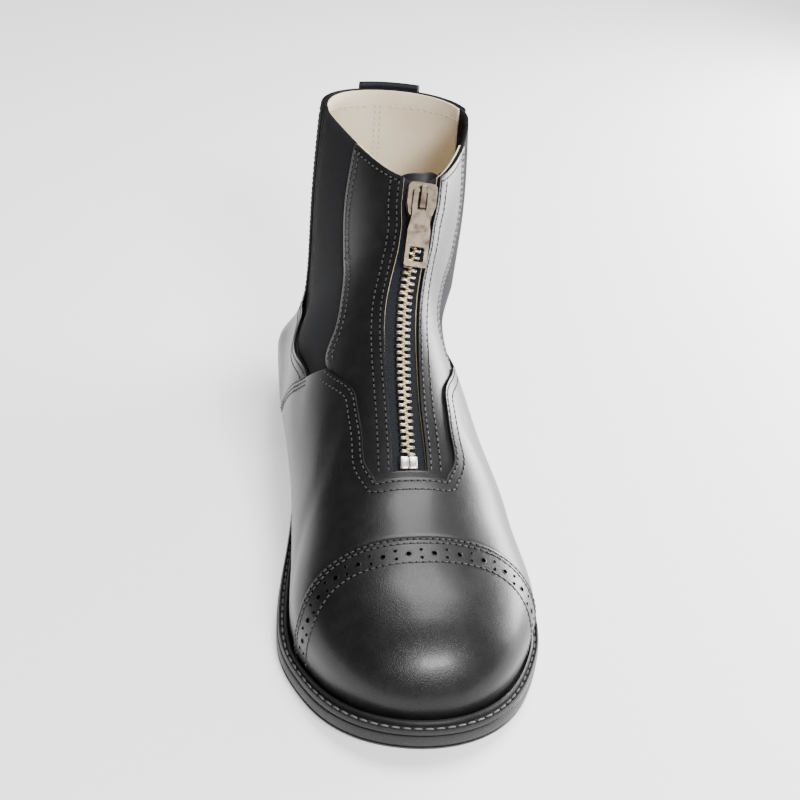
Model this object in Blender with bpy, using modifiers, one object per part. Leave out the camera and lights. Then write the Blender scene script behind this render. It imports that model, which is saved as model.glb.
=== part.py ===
"""Paddock boot for the left foot: leather upper with a front zip and elastic side gores, on a welted sole.

Metres, +Z up. The toe points along -Y, +X is the outer side of the foot, and the boot stands on z = 0.
"""

import math

import bmesh
import bpy
import numpy as np
from mathutils import Matrix

# Overall sizes
LENGTH = 0.285  # outsole, toe tip to heel back
BALL_WIDTH = 0.0945  # upper at the sole line, across the ball
HEEL_WIDTH = 0.064  # upper at the sole line, across the heel
COUNTER_BULGE = 0.0040  # how far each side of the stiffened heel stands out from the sole line
COLLAR_WIDTH = 0.064
SHAFT_LEAN = 0.0085  # how far the back of the shaft stands over to the outer side of the heel
BACK_HEIGHT = 0.160  # ground to the collar at the back seam
FRONT_DROP = 0.007  # how much lower the collar is above the zip
FRONT_HEIGHT = BACK_HEIGHT - FRONT_DROP
RIM_LIFT = 0.004  # how far the collar's sides rise above the line from front to back
TOE_HEIGHT = 0.046  # ground to the top of the toe box
TOE_SPRING = 0.0085
HEEL_HEIGHT = 0.020  # heel block and top piece, under the outsole

# Sole
SOLE_THICKNESS = 0.0075
TOE_FLANGE = 0.0100  # how far the outsole stands out from the sole line of the upper
BALL_FLANGE = 0.0072
HEEL_FLANGE = 0.0054
SOLE_CHAMFER = 0.0010
WELT_BASE = 0.0016  # welt's thickness outside its stitch groove
WELT_RIM = 0.0006  # height of the rim outside the groove
WELT_BEAD = 0.0034  # height of the bead against the upper
TOP_PIECE = 0.0060  # rubber piece under the heel block
HEEL_BREAST = 0.082  # heel's length along the ground
HEEL_TAPER = 0.0016  # how much the heel draws in towards the ground
INSOLE_THICKNESS = 0.0030

# Upper
WALL = 0.0026  # leather and lining
VAMP_THICKNESS = 0.0011  # leather of the pieces sewn on top
CAP_THICKNESS = 0.0019
GORE_THICKNESS = 0.0016
GAP = 0.0003  # between pieces that lie on each other
SKIRT = 0.006  # height over which the lower edge of a piece is fitted to the sole

# Zip
ZIP_OPENING = 0.0138  # between the leather edges
SLIDER_OPENING = 0.0160  # the same beside the slider
TAPE_REACH = 0.012  # from the ridge to the tape's edge
TAPE_THICKNESS = 0.0008
GUARD_REACH = 0.0105
GUARD_THICKNESS = 0.0010
GUARD_FOOT = 10.6  # section at which the tab behind the zip's top begins
GUARD_RISE = 0.55  # how many sections its middle rises above the collar
TOOTH_PITCH = 0.0035
TOOTH_WIDTH = 0.0068
TOOTH_HEIGHT = 0.0026
STOP_LENGTH = 0.0055
STOP_PLACE = 0.0008  # from the foot of the opening to the bottom stop
METAL_ROUND = 0.0004  # round on the edges of the metal blocks
SLIDER_WIDTH = 0.0126
SLIDER_LENGTH = 0.0150
SLIDER_ROOF = 0.0014
BRIDGE_WIDTH = 0.0028
BRIDGE_BAR = 0.0011
PULL_LENGTH = 0.0335
PULL_WIDTH = 0.0098
PULL_THICKNESS = 0.0014
PULL_HOLE = 0.0064
CLEARANCE = 0.0004  # round what moves

# Pull loop at the back
LOOP_WIDTH = 0.026
LOOP_ASIDE = 0.005  # how far its middle stands to the outer side of the seam
LOOP_LENGTH = 0.040
LOOP_STAND = 0.0024  # how far it rises above the collar
STRAP_THICKNESS = 0.0014

# The sole line before its ends are rounded: shares of LENGTH, then shares of the width that the row follows.
FEATHER = (
    # name, station, inner, outer, centre
    ("tip", 0.032, 0.487, 0.446, 0.031),
    ("toe", 0.123, 0.458, 0.481, 0.010),
    ("ball", 0.218, 0.472, 0.528, 0.000),
    ("tread", 0.309, 0.451, 0.536, 0.000),
    ("arch front", 0.386, 0.421, 0.506, 0.000),
    ("arch", 0.484, 0.399, 0.468, -0.006),
    ("waist", 0.579, 0.407, 0.459, -0.026),
    ("breast", 0.684, 0.460, 0.475, -0.044),
    ("seat", 0.807, 0.500, 0.500, -0.048),
    ("heel", 0.905, 0.500, 0.500, -0.046),
    ("back", 0.986, 0.500, 0.500, -0.046),
)
TOE_ROUND = 0.193  # share of LENGTH over which the sole line closes at the toe

# Cross-sections of the last, from the toe tip to the collar. Each lies in a plane through a point on the top
# line and a foot on the sole line or, once it has passed the heel, on the back seam.
SECTIONS = (
    # name, top, rise, foot, climb, measure, inner, outer, widest, crown, ridge
    ("tip", 0.032, -0.024, 0.032, 0.0, "ball", 0.500, 0.455, 0.36, 2.5, 0.031),
    ("toe box", 0.123, 0.014, 0.123, 0.0, "ball", 0.468, 0.490, 0.34, 2.4, 0.020),
    ("cap", 0.218, 0.070, 0.218, 0.0, "ball", 0.486, 0.533, 0.30, 2.2, 0.020),
    ("vamp", 0.302, 0.136, 0.315, 0.0, "ball", 0.466, 0.522, 0.27, 2.0, 0.022),
    ("throat", 0.354, 0.220, 0.414, 0.0, "ball", 0.449, 0.500, 0.28, 1.9, 0.028),
    ("instep", 0.407, 0.318, 0.526, 0.0, "ball", 0.434, 0.442, 0.31, 1.85, 0.030),
    ("high instep", 0.460, 0.420, 0.646, 0.0, "heel", 0.637, 0.582, 0.35, 1.8, 0.050),
    ("bend", 0.505, 0.523, 0.761, 0.0, "heel", 0.609, 0.505, 0.40, 1.75, 0.062),
    ("ankle", 0.543, 0.621, 0.870, 0.0, "heel", 0.592, 0.480, 0.43, 1.7, 0.086),
    ("heel seat", 0.573, 0.715, 0.945, 0.0, "heel", 0.567, 0.500, 0.45, 1.6, 0.125),
    ("heel back", 0.595, 0.794, 0.986, 0.0, "heel", 0.570, 0.515, 0.45, 1.5, 0.164),
    ("counter", 0.6145, 0.864, 0.986, 0.27, "heel", 0.570, 0.528, 0.44, 1.4, 0.188),
    ("shaft", 0.634, 0.935, 0.986, 0.60, "collar", 0.570, 0.535, 0.42, 1.3, 0.208),
    ("collar", 0.6525, 1.000, 0.986, 1.0, "collar", 0.535, 0.515, 0.38, 1.22, 0.223),
)

# The back seam at each climb: how far it stands in from the heel's furthest point, and the round of the back.
BACK_LINE = (
    # climb, set in, round
    (0.0, 0.006, 0.125),
    (0.13, 0.000, 0.125),
    (0.27, 0.004, 0.125),
    (0.60, 0.016, 0.125),
    (1.0, 0.009, 0.122),
)

# Edges of the panels, as shares up each section. Below the gore's foot, "front" is the vamp's top edge.
PANELS = (
    # section, back, front
    (0.0, 0.55, 0.960),
    (3.0, 0.55, 0.962),
    (3.5, 0.56, 0.960),
    (3.9, 0.57, 0.938),
    (4.6, 0.58, 0.930),
    (5.3, 0.59, 0.920),
    (5.9, 0.61, 0.888),
    (6.4, 0.64, 0.790),
    (7.3, 0.50, 0.815),
    (8.3, 0.37, 0.838),
    (10.2, 0.27, 0.790),
    (11.6, 0.27, 0.735),
    (13.0, 0.30, 0.705),
)
CAP_EDGE = 2.15  # section at which the toe cap ends on top
CAP_SWEEP = 0.50  # how many sections further forward it ends at the sole
VAMP_EDGE = 3.42  # section at the foot of the vamp's opening
ZIP_FOOT = 3.62
GORE_FOOT = 6.4
GORE_INSET = 0.006  # gore's edges inside those of its opening, as a share up the section
GORE_DEPTH = 0.0005  # its face below the leather's
SEAM = 0.02  # sections between the edges of neighbouring pieces
TOE_ROWS = (0.0, 0.25, 0.5, 0.75, 1.0, 1.3, 1.6, 1.88)
ROWS = (
    TOE_ROWS
    + (CAP_EDGE, CAP_EDGE + SEAM, 2.45, 2.8, 3.15, VAMP_EDGE, ZIP_FOOT, 4.1, 4.55, 5.0, 5.45, 5.9, 6.2)
    + (GORE_FOOT, GORE_FOOT + SEAM, 6.8, 7.3, 7.8, 8.4, 9.0, 9.6, 10.0, 10.6, 11.2, 11.8, 12.4, 13.0)
)
COLUMNS = (6, 5, 3, 1)  # steps from the sole to the back edge, the front edge, the zip and the ridge


def spline(knots, values):
    """A natural cubic through the values, as a function that takes arrays."""
    x = np.asarray(knots, float)
    y = np.asarray(values, float)
    n = len(x)
    step = np.diff(x)
    slope = np.diff(y) / step
    system = np.eye(n)
    right = np.zeros(n)
    for i in range(1, n - 1):
        system[i, i - 1 : i + 2] = step[i - 1], 2 * (step[i - 1] + step[i]), step[i]
        right[i] = 6 * (slope[i] - slope[i - 1])
    bend = np.linalg.solve(system, right)

    def at(where):
        where = np.asarray(where, float)
        i = np.clip(np.searchsorted(x, where) - 1, 0, n - 2)
        a = where - x[i]
        b = x[i + 1] - where
        h = step[i]
        return (
            (bend[i] * b**3 + bend[i + 1] * a**3) / (6 * h)
            + (y[i] / h - bend[i] * h / 6) * b
            + (y[i + 1] / h - bend[i + 1] * h / 6) * a
        )

    return at


def smoothstep(q):
    q = np.clip(q, 0.0, 1.0)
    return q * q * (3 - 2 * q)


def end_round(q, power=2.2):
    """Closes a width round at its end: 0 at q = 0, 1 from q = 1 on."""
    return np.sqrt(1 - (1 - np.clip(q, 0.0, 1.0)) ** power)


def sole_underside(y):
    """Height of the outsole's underside: toe spring, flat tread, rising shank, level heel seat."""
    q = np.asarray(y, float) / LENGTH
    spring = TOE_SPRING * np.clip(1 - q / 0.205, 0.0, 1.0) ** 2
    return spring + HEEL_HEIGHT * smoothstep((q - 0.36) / 0.40)


def seat_height(y):
    """Where the upper stands on the outsole."""
    return sole_underside(y) + SOLE_THICKNESS + GAP


_stations = [row[1] for row in FEATHER]
_inner = spline(_stations, [row[2] for row in FEATHER])
_outer = spline(_stations, [row[3] for row in FEATHER])
_centre = spline(_stations, [row[4] for row in FEATHER])
HEEL_END = LENGTH - HEEL_FLANGE
TOE_END = TOE_FLANGE


def width_followed(y):
    """The ball's width in the forepart, the heel's width behind the arch."""
    k = smoothstep((np.asarray(y, float) / LENGTH - 0.30) / 0.50)
    return BALL_WIDTH * (1 - k) + HEEL_WIDTH * k


def feather_base(y, side):
    share = (_inner if side < 0 else _outer)(np.asarray(y, float) / LENGTH)
    return share * width_followed(y)


def centre_line(y):
    """The sole's middle line: straight in the forepart, swung to the inner side at the heel."""
    return _centre(np.asarray(y, float) / LENGTH) * width_followed(y)


def toe_closing(y):
    return end_round((np.asarray(y, float) - TOE_END) / (TOE_ROUND * LENGTH))


_climbs = [row[0] for row in BACK_LINE]
_set_in = spline(_climbs, [row[1] for row in BACK_LINE])
_back_round = spline(_climbs, [row[2] for row in BACK_LINE])


def climb_of(z):
    low = seat_height(HEEL_END)
    return (np.asarray(z, float) - low) / (BACK_HEIGHT - low)


def back_line(climb):
    """Station of the back seam."""
    return HEEL_END - _set_in(np.clip(climb, 0.0, 1.0)) * LENGTH


def back_closing(y, z):
    c = np.clip(climb_of(z), 0.0, 1.0)
    return end_round((back_line(c) - y) / (_back_round(c) * LENGTH))


_rows = np.arange(len(SECTIONS))
_sizes = {"ball": BALL_WIDTH, "heel": HEEL_WIDTH, "collar": COLLAR_WIDTH}
_top_y = spline(_rows, [r[1] * LENGTH for r in SECTIONS])
_top_z = spline(_rows, [TOE_HEIGHT + r[2] * (FRONT_HEIGHT - TOE_HEIGHT) for r in SECTIONS])
_wide = {
    -1: spline(_rows, [r[6] * _sizes[r[5]] for r in SECTIONS]),
    1: spline(_rows, [r[7] * _sizes[r[5]] for r in SECTIONS]),
}
_widest = spline(_rows, [r[8] for r in SECTIONS])
_crown = spline(_rows, [r[9] for r in SECTIONS])
_ridge = spline(_rows, [r[10] * _sizes[r[5]] for r in SECTIONS])
HEEL_ROW = [r[0] for r in SECTIONS].index("heel back")
LAST_ROW = len(SECTIONS) - 1
_feet = [r[3] * LENGTH for r in SECTIONS[: HEEL_ROW + 1]]
_feet[-1] = float(back_line(0.0))
_foot = spline(_rows[: HEEL_ROW + 1], _feet)
_climb = spline(_rows[HEEL_ROW:], [r[4] for r in SECTIONS[HEEL_ROW:]])
TUCK = 0.30  # share of a section over which the sole line widens to its fullest


def section_ends(s):
    """Top point and foot of the section at s, each (y, z), and the foot's place across."""
    s = np.asarray(s, float)
    # The toe's sections bunch up towards the tip, so that its round has enough of them.
    near = TOE_END + (_top_y(1.0) - TOE_END) * (1 - np.cos(np.clip(s, 0, 1) * math.pi / 2))
    ty = np.where(s < 1, near, _top_y(s))
    climb = np.where(s > HEEL_ROW, _climb(np.maximum(s, HEEL_ROW)), 0.0)
    foot_y = np.where(s < 1, near, _foot(np.minimum(s, HEEL_ROW)))
    foot_y = np.where(s > HEEL_ROW, back_line(climb), foot_y)
    low = seat_height(HEEL_END)
    foot_z = np.where(s > HEEL_ROW, low + climb * (BACK_HEIGHT - low), seat_height(foot_y))
    foot_x = centre_line(foot_y)
    rise = end_round((ty - TOE_END) / (0.155 * LENGTH), 2.6)
    tz = foot_z + (_top_z(s) - foot_z) * np.where(s < 3, rise, 1.0)
    return ty, tz, foot_y, foot_z, foot_x


def counter_bulge(y, z):
    """The heel's sides swell above the sole and draw in again below the ankle."""
    up = np.maximum(z - seat_height(y), 0.0) / (0.12 * HEEL_WIDTH)
    return COUNTER_BULGE * up**2 * np.exp(1 - up**2) * smoothstep((y / LENGTH - 0.50) / 0.25)


def shaft_lean(y, z):
    """Above the stiffened heel, the back of the shaft leans to the outer side."""
    up = (z - seat_height(HEEL_END)) / HEEL_WIDTH
    return SHAFT_LEAN * smoothstep((up - 0.02) / 0.55) * smoothstep((y / LENGTH - 0.62) / 0.30)


def last_point(s, h, side):
    """A point of the last's surface: section s, share h up from its foot, inner side -1 or outer side 1."""
    s, h = np.broadcast_arrays(np.asarray(s, float), np.asarray(h, float))
    ty, tz, by, bz, bx = section_ends(s)
    y = by + (ty - by) * h
    lift = 4 * h * (1 - h) * smoothstep((s - LAST_ROW + 1.5) / 1.5)
    z = bz + (tz - bz) * h + RIM_LIFT * lift
    closing = np.where(s < 4, toe_closing(y), 1.0) * back_closing(y, z)
    full = _wide[side](s)
    base = feather_base(by, side)
    blend = smoothstep(s - HEEL_ROW)
    base = base * (1 - blend) + full * blend
    wide = base + (full - base) * (1 - (1 - np.clip(h / TUCK, 0, 1)) ** 2.2) + counter_bulge(y, z)
    q = np.clip((h - _widest(s)) / (1 - _widest(s)), 0, 1)
    over = np.clip(1 - q ** _crown(s), 0, 1) ** 0.5
    shift = _ridge(s) * h + bx * (1 - h) + shaft_lean(y, z)
    return np.stack([shift + side * wide * over * closing, y, z], -1)


_marks = [row[0] for row in PANELS]
_back_edge = spline(_marks, [row[1] for row in PANELS])
_front_edge = spline(_marks, [row[2] for row in PANELS])


def zip_edge(s):
    """Share up a section at which the surface is half the zip's opening away from the ridge."""
    wide = np.minimum(_wide[-1](s), _wide[1](s))
    half = (ZIP_OPENING + (SLIDER_OPENING - ZIP_OPENING) * smoothstep((s - LAST_ROW + 2.2) / 1.2)) / 2
    q = (1 - (half / wide) ** 2) ** (1 / _crown(s))
    return _widest(s) + q * (1 - _widest(s))


def climb_shares(s):
    """Shares up the section at s for every column, from the sole to the ridge."""
    back, front, slot = float(_back_edge(s)), float(_front_edge(s)), float(zip_edge(s))
    low, middle, high, top = COLUMNS
    ease_in = [back * (1 - math.cos(math.pi / 2 * i / low)) for i in range(low)]
    ease_out = [back + (front - back) * math.sin(math.pi / 2 * i / middle) for i in range(middle)]
    panel = [front + (slot - front) * math.sin(math.pi / 2 * i / high) for i in range(high)]
    return np.array(ease_in + ease_out + panel + [slot + (1 - slot) * i / top for i in range(top + 1)])


SIDE_COLUMNS = sum(COLUMNS)
BACK_COLUMN = COLUMNS[0]
FRONT_COLUMN = COLUMNS[0] + COLUMNS[1]
ZIP_COLUMN = SIDE_COLUMNS - COLUMNS[3]


def swept(s, h):
    """Rows near the toe cap's edge bend forward towards the sole."""
    near = math.exp(-(((s - CAP_EDGE) / 1.0) ** 2)) * float(smoothstep(s / CAP_EDGE))
    return s - CAP_SWEEP * near * smoothstep((1 - h) / 0.6)


def last_row(s):
    """The section at s: from the inner foot over the ridge to the outer foot."""
    h = climb_shares(s)
    inner = last_point(swept(s, h), h, -1)
    outer = last_point(swept(s, h), h, 1)
    return np.concatenate([inner, outer[-2::-1]])


ROW_OF = {s: i for i, s in enumerate(ROWS)}
RING = 2 * SIDE_COLUMNS + 1


def lift_foot(grid):
    """Raises the lower edge so that the sheets built on the grid end above the sole, inside and outside."""
    last = ROW_OF[HEEL_ROW]
    for foot, step, side in ((0, 1, -1), (RING - 1, -1, 1)):
        base = grid[: last + 1, foot].copy()
        up = grid[: last + 1, foot + 3 * step] - base
        away = side * np.cross(np.gradient(base, axis=0), up)
        away[0] = (0.0, -1.0, 0.0)
        seam = grid[last + 1, foot] - base[last]
        away[last] = (0.0, seam[2], -seam[1])
        away /= np.linalg.norm(away, axis=1, keepdims=True)
        lift = np.zeros(len(ROWS))
        for reach in (GAP + CAP_THICKNESS, -WALL):
            edge = base + away * reach
            lift[: last + 1] = np.maximum(lift[: last + 1], seat_height(edge[:, 1]) - edge[:, 2] + GAP / 2)
        lift[last] += 2 * GAP
        half = slice(0, SIDE_COLUMNS) if side < 0 else slice(SIDE_COLUMNS, RING)
        above = grid[:, half, 2] - seat_height(grid[:, half, 1])
        grid[:, half, 2] += lift[:, None] * np.clip(1 - above / SKIRT, 0, 1)
    grid[0] = grid[0, 0]
    return grid


LAST = lift_foot(np.array([last_row(s) for s in ROWS]))


def sole_line(y, side):
    """Where the upper meets the sole, seen from above."""
    wide = feather_base(y, side) * toe_closing(y) * back_closing(y, seat_height(y))
    return centre_line(y) + side * wide


def flange(y):
    """How far the outsole stands out at a station."""
    q = np.asarray(y, float) / LENGTH
    front = TOE_FLANGE + (BALL_FLANGE - TOE_FLANGE) * smoothstep(q / 0.16)
    return front + (HEEL_FLANGE - front) * smoothstep((q - 0.35) / 0.40)


def sole_edge(stations, out):
    """The sole line moved outwards: the outer side's points from front to back, then the inner side's.

    The distance out is a function of the station, or one row of values for each side, the outer first.
    """
    sides = []
    for row, side in enumerate((1, -1)):
        line = np.stack([sole_line(stations, side), stations], -1)
        along = np.gradient(line, axis=0)
        for end in (0, -1):
            if abs(line[end, 0] - centre_line(line[end, 1])) < 1e-6:
                along[end] = (side * (1 if end == 0 else -1), 0.0)
        along /= np.linalg.norm(along, axis=1, keepdims=True)
        away = np.stack([along[:, 1], -along[:, 0]], -1) * side
        reach = out(stations) if callable(out) else out[row]
        sides.append(line + away * np.asarray(reach, float).reshape(-1, 1))
    return np.concatenate([sides[0], sides[1][::-1]])


SOLE_STATIONS = np.array([float(section_ends(s)[2]) for s in ROWS if s <= HEEL_ROW])
SOLE_STATIONS[-1] = float(back_line(climb_of(seat_height(HEEL_END))))
OUTLINE = sole_edge(SOLE_STATIONS, flange)
ORIGIN = (OUTLINE.min(axis=0) + OUTLINE.max(axis=0)) / 2  # middle of the sole's length and width
CAP_FOOT = float(section_ends(swept(CAP_EDGE + SEAM, 0.0))[2])


def flare(height):
    """How far the last stands out from the sole line, up to each height, for the outer and the inner side."""
    found = []
    foot = sole_edge(SOLE_STATIONS, lambda y: 0.0 * y)
    count = len(SOLE_STATIONS)
    for foot_line, side in ((foot[:count], 1), (foot[count:][::-1], -1)):
        s = np.linspace(0.0, HEEL_ROW + 2.0, 600)[:, None]
        cloud = last_point(s, np.linspace(0.0, 0.3, 61), side).reshape(-1, 3)
        above = cloud[:, 2] - seat_height(cloud[:, 1])
        along = np.gradient(foot_line, axis=0)
        along[0] = (side, 0.0)
        along[-1] = (-side, 0.0)
        along /= np.linalg.norm(along, axis=1, keepdims=True)
        reach = []
        for place, way, top in zip(foot_line, along, height):
            away = np.array([way[1], -way[0]]) * side
            offset = cloud[:, :2] - place
            near = np.linalg.norm(offset, axis=1) < 0.02
            beside = near & (np.abs(offset @ way) < 0.002) & (above < top + 0.0004)
            reach.append(max(0.0, float((offset[beside] @ away).max(initial=0.0))))
        found.append(reach)
    return np.array(found)


def ridge_frame(s):
    """A point of the ridge with its directions: along the ridge upwards, away from the foot, and across."""
    step = 0.02
    place = last_point(s, 1.0, 1)
    along = last_point(s + step, 1.0, 1) - last_point(s - step, 1.0, 1)
    along /= np.linalg.norm(along)
    away = np.cross((1.0, 0.0, 0.0), along)
    away /= np.linalg.norm(away)
    return place, along, away, np.cross(along, away)


def ridge_length_table():
    """Sections against the length along the ridge, from the foot of the zip to the collar."""
    sections = np.linspace(ZIP_FOOT, LAST_ROW, 300)
    points = last_point(sections, 1.0, 1)
    lengths = np.concatenate([[0.0], np.cumsum(np.linalg.norm(np.diff(points, axis=0), axis=1))])
    return sections, lengths


ZIP_SECTIONS, ZIP_LENGTHS = ridge_length_table()
ZIP_LENGTH = float(ZIP_LENGTHS[-1])


def section_at(length):
    return float(np.interp(length, ZIP_LENGTHS, ZIP_SECTIONS))


# Building starts here

for old in list(bpy.data.objects):
    bpy.data.objects.remove(old, do_unlink=True)

parts = bpy.data.collections.new("paddock_boot")
cutters = bpy.data.collections.new("cutters")
for group in (parts, cutters):
    bpy.context.scene.collection.children.link(group)


def material(name, colour, roughness, metallic=0.0):
    made = bpy.data.materials.new(name)
    made.use_nodes = True
    shader = made.node_tree.nodes["Principled BSDF"]
    shader.inputs["Base Color"].default_value = (*colour, 1.0)
    shader.inputs["Roughness"].default_value = roughness
    shader.inputs["Metallic"].default_value = metallic
    return made


def mesh_object(name, points, faces, look, closed=False):
    """A mesh from its points and faces, with the points that meet welded."""
    mesh = bpy.data.meshes.new(name)
    mesh.from_pydata([tuple(float(c) for c in p) for p in points], [], faces)
    work = bmesh.new()
    work.from_mesh(mesh)
    bmesh.ops.remove_doubles(work, verts=work.verts, dist=2e-6)
    bmesh.ops.dissolve_degenerate(work, edges=work.edges, dist=1e-6)
    if closed:
        bmesh.ops.recalc_face_normals(work, faces=work.faces)
    work.to_mesh(mesh)
    work.free()
    return add_part(name, mesh, look)


def add_part(name, mesh, look):
    mesh.materials.clear()
    mesh.materials.append(look)
    mesh.shade_smooth()
    mesh.set_sharp_from_angle(angle=math.radians(35))
    made = bpy.data.objects.new(name, mesh)
    parts.objects.link(made)
    return made


def add_wall(made, thickness, out):
    """Gives a surface its thickness, with the outer face at a distance out from it."""
    wall = made.modifiers.new("wall", "SOLIDIFY")
    wall.thickness = thickness
    wall.offset = 2 * out / thickness - 1
    wall.use_quality_normals = True


def last_shell(name, keep, thickness, out, look):
    """A sheet on the last, of the cells that keep(row, column) takes, columns counted from the sole."""
    faces = []
    for i in range(len(ROWS) - 1):
        for j in range(RING - 1):
            if keep(i, min(j, RING - 2 - j)):
                a = i * RING + j
                faces.append((a, a + 1, a + RING + 1, a + RING))
    taken = sorted({v for face in faces for v in face})
    number = {v: k for k, v in enumerate(taken)}
    points = LAST.reshape(-1, 3)[taken]
    made = mesh_object(name, points, [tuple(number[v] for v in f) for f in faces], look)
    add_wall(made, thickness, out)
    return made


def grid_faces(rows, columns, flip=False):
    faces = []
    for i in range(rows - 1):
        for j in range(columns - 1):
            a = i * columns + j
            face = (a, a + 1, a + columns + 1, a + columns)
            faces.append(face[::-1] if flip else face)
    return faces


def patch(name, grid, thickness, out, look, flip=False):
    """A sheet over a grid of points of the last."""
    rows, columns = grid.shape[:2]
    made = mesh_object(name, grid.reshape(-1, 3), grid_faces(rows, columns, flip), look)
    add_wall(made, thickness, out)
    return made


def plate(name, rings, look):
    """A closed solid through rings of paired points, the first ring at the bottom."""
    count = len(rings[0])
    points = [point for ring in rings for point in ring]
    faces = []
    for level in range(len(rings) - 1):
        a = level * count
        for k in range(count):
            n = (k + 1) % count
            faces.append((a + k, a + n, a + count + n, a + count + k))
    top = (len(rings) - 1) * count
    for k in range(count // 2 - 1):
        across = (k, k + 1, count - 2 - k, count - 1 - k)
        faces.append(across[::-1])
        faces.append(tuple(top + v for v in across))
    return mesh_object(name, points, faces, look, closed=True)


def sole_ring(stations, out, height):
    """A ring of the sole: the sole line moved outwards by out(y), at height(y)."""
    edge = sole_edge(stations, out)
    return np.column_stack([edge, height(edge[:, 1])])


def make_outsole(look):
    def ring(inset, up):
        return sole_ring(SOLE_STATIONS, lambda y: flange(y) - inset, lambda y: sole_underside(y) + up)

    plate("outsole", (
        ring(SOLE_CHAMFER, 0.0),
        ring(0.0, SOLE_CHAMFER),
        ring(0.0, SOLE_THICKNESS - SOLE_CHAMFER / 2),
        ring(SOLE_CHAMFER / 2, SOLE_THICKNESS),
    ), look)


def make_heel(block_look, rubber_look):
    front = LENGTH - HEEL_BREAST
    turn = np.linspace(0, math.pi / 2, 13)
    stations = front + (SOLE_STATIONS[-1] - front) * np.sin(turn)

    def ring(height):
        draw_in = HEEL_TAPER * (1 - height(front) / HEEL_HEIGHT)
        return sole_ring(stations, lambda y: flange(y) - SOLE_CHAMFER - draw_in, height)

    plate("heel_block", (
        ring(lambda y: 0.0 * y + TOP_PIECE + GAP),
        ring(lambda y: sole_underside(y) - GAP),
    ), block_look)
    plate("heel_top_piece", (ring(lambda y: 0.0 * y), ring(lambda y: 0.0 * y + TOP_PIECE)), rubber_look)


def make_welt(look):
    """The strip round the upper: a bead at the leather, a sunk stitch groove, a rim at the sole's edge."""
    bead = WELT_BEAD - (WELT_BEAD - WELT_BASE) * smoothstep((SOLE_STATIONS / LENGTH - 0.45) / 0.20)
    leather = np.where(SOLE_STATIONS < CAP_FOOT, CAP_THICKNESS, VAMP_THICKNESS)
    inner = leather + 2.5 * GAP + flare(bead + 2 * GAP)
    outer = np.tile(flange(SOLE_STATIONS) - SOLE_CHAMFER / 2, (2, 1))
    wide = outer - inner
    swell = np.minimum(0.0030, wide * 0.45)
    rim = np.minimum(0.0012, wide * 0.28)
    flat = np.full_like(bead, WELT_BASE)
    section = (
        # out from the sole line, and height above the outsole
        (inner, flat * 0),
        (inner, bead * 0.8),
        (inner + swell * 0.45, bead),
        (inner + swell, flat * 0.999),
        (outer - rim, flat * 0.999),
        (outer - rim * 0.75, flat + WELT_RIM),
        (outer - rim * 0.1, flat + WELT_RIM),
        (outer, flat * 0),
    )
    rings = []
    for out, up in section:
        ring = sole_ring(SOLE_STATIONS, out, lambda y: sole_underside(y) + SOLE_THICKNESS + GAP)
        ring[:, 2] += np.concatenate([up, up[::-1]])
        rings.append(ring)
    count = len(rings[0])
    faces = []
    for level in range(len(rings)):
        a, b = level * count, (level + 1) % len(rings) * count
        for k in range(count):
            n = (k + 1) % count
            faces.append((a + k, a + n, b + n, b + k))
    mesh_object("welt", np.concatenate(rings), faces, look, closed=True)


def make_insole(look):
    inside = WALL + 2 * GAP

    def ring(up):
        return sole_ring(SOLE_STATIONS, lambda y: -inside + 0.0 * y, lambda y: seat_height(y) + up)

    plate("insole", (ring(GAP), ring(GAP + INSOLE_THICKNESS)), look)


def make_leather(upper_look, vamp_look):
    cap_row, cap_seam = ROW_OF[CAP_EDGE], ROW_OF[CAP_EDGE + SEAM]
    vamp_row, zip_row = ROW_OF[VAMP_EDGE], ROW_OF[ZIP_FOOT]
    gore_row, gore_seam = ROW_OF[GORE_FOOT], ROW_OF[GORE_FOOT + SEAM]

    def in_upper(i, c):
        gore = i >= gore_seam and BACK_COLUMN <= c < FRONT_COLUMN
        return not gore and not (i >= zip_row and c >= ZIP_COLUMN)

    last_shell("upper", in_upper, WALL, 0.0, upper_look)
    last_shell("toe_cap", lambda i, c: i < cap_row, CAP_THICKNESS, GAP + CAP_THICKNESS, vamp_look)
    last_shell(
        "vamp",
        lambda i, c: cap_seam <= i < gore_row and (i < vamp_row or c < FRONT_COLUMN),
        VAMP_THICKNESS, GAP + VAMP_THICKNESS, vamp_look,
    )
    last_shell(
        "back_panel", lambda i, c: i >= gore_seam and c < BACK_COLUMN,
        VAMP_THICKNESS, GAP + VAMP_THICKNESS, vamp_look,
    )


def make_gores(look):
    """The elastic sides, set in the openings of the upper."""
    rows = [s for s in ROWS if s >= GORE_FOOT + SEAM]
    rows[0] += SEAM
    for side, name in ((-1, "gore_inner"), (1, "gore_outer")):
        grid = []
        for s in rows:
            h = np.linspace(_back_edge(s) + GORE_INSET, _front_edge(s) - GORE_INSET, COLUMNS[1] + 1)
            grid.append(last_point(s, h, side))
        patch(name, np.array(grid), GORE_THICKNESS, -GORE_DEPTH, look, flip=side > 0)


def beside_ridge(s, reach):
    """A point of the last at section s, at a distance from the ridge, positive to the outer side."""
    side = 1 if reach > 0 else -1
    q = (1 - (reach / _wide[side](s)) ** 2) ** (1 / _crown(s))
    return last_point(s, _widest(s) + q * (1 - _widest(s)), side)


def guard_grid(rows, reaches):
    """Points of the last under the tab behind the zip's top, whose upper edge is an arch."""
    tops = LAST_ROW + GUARD_RISE * (1 - (reaches / reaches[-1]) ** 2)
    grid = []
    for share in np.linspace(0, 1, rows):
        sections = GUARD_FOOT + (tops - GUARD_FOOT) * share
        grid.append([beside_ridge(s, reach) for s, reach in zip(sections, reaches)])
    return np.array(grid)


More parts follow.
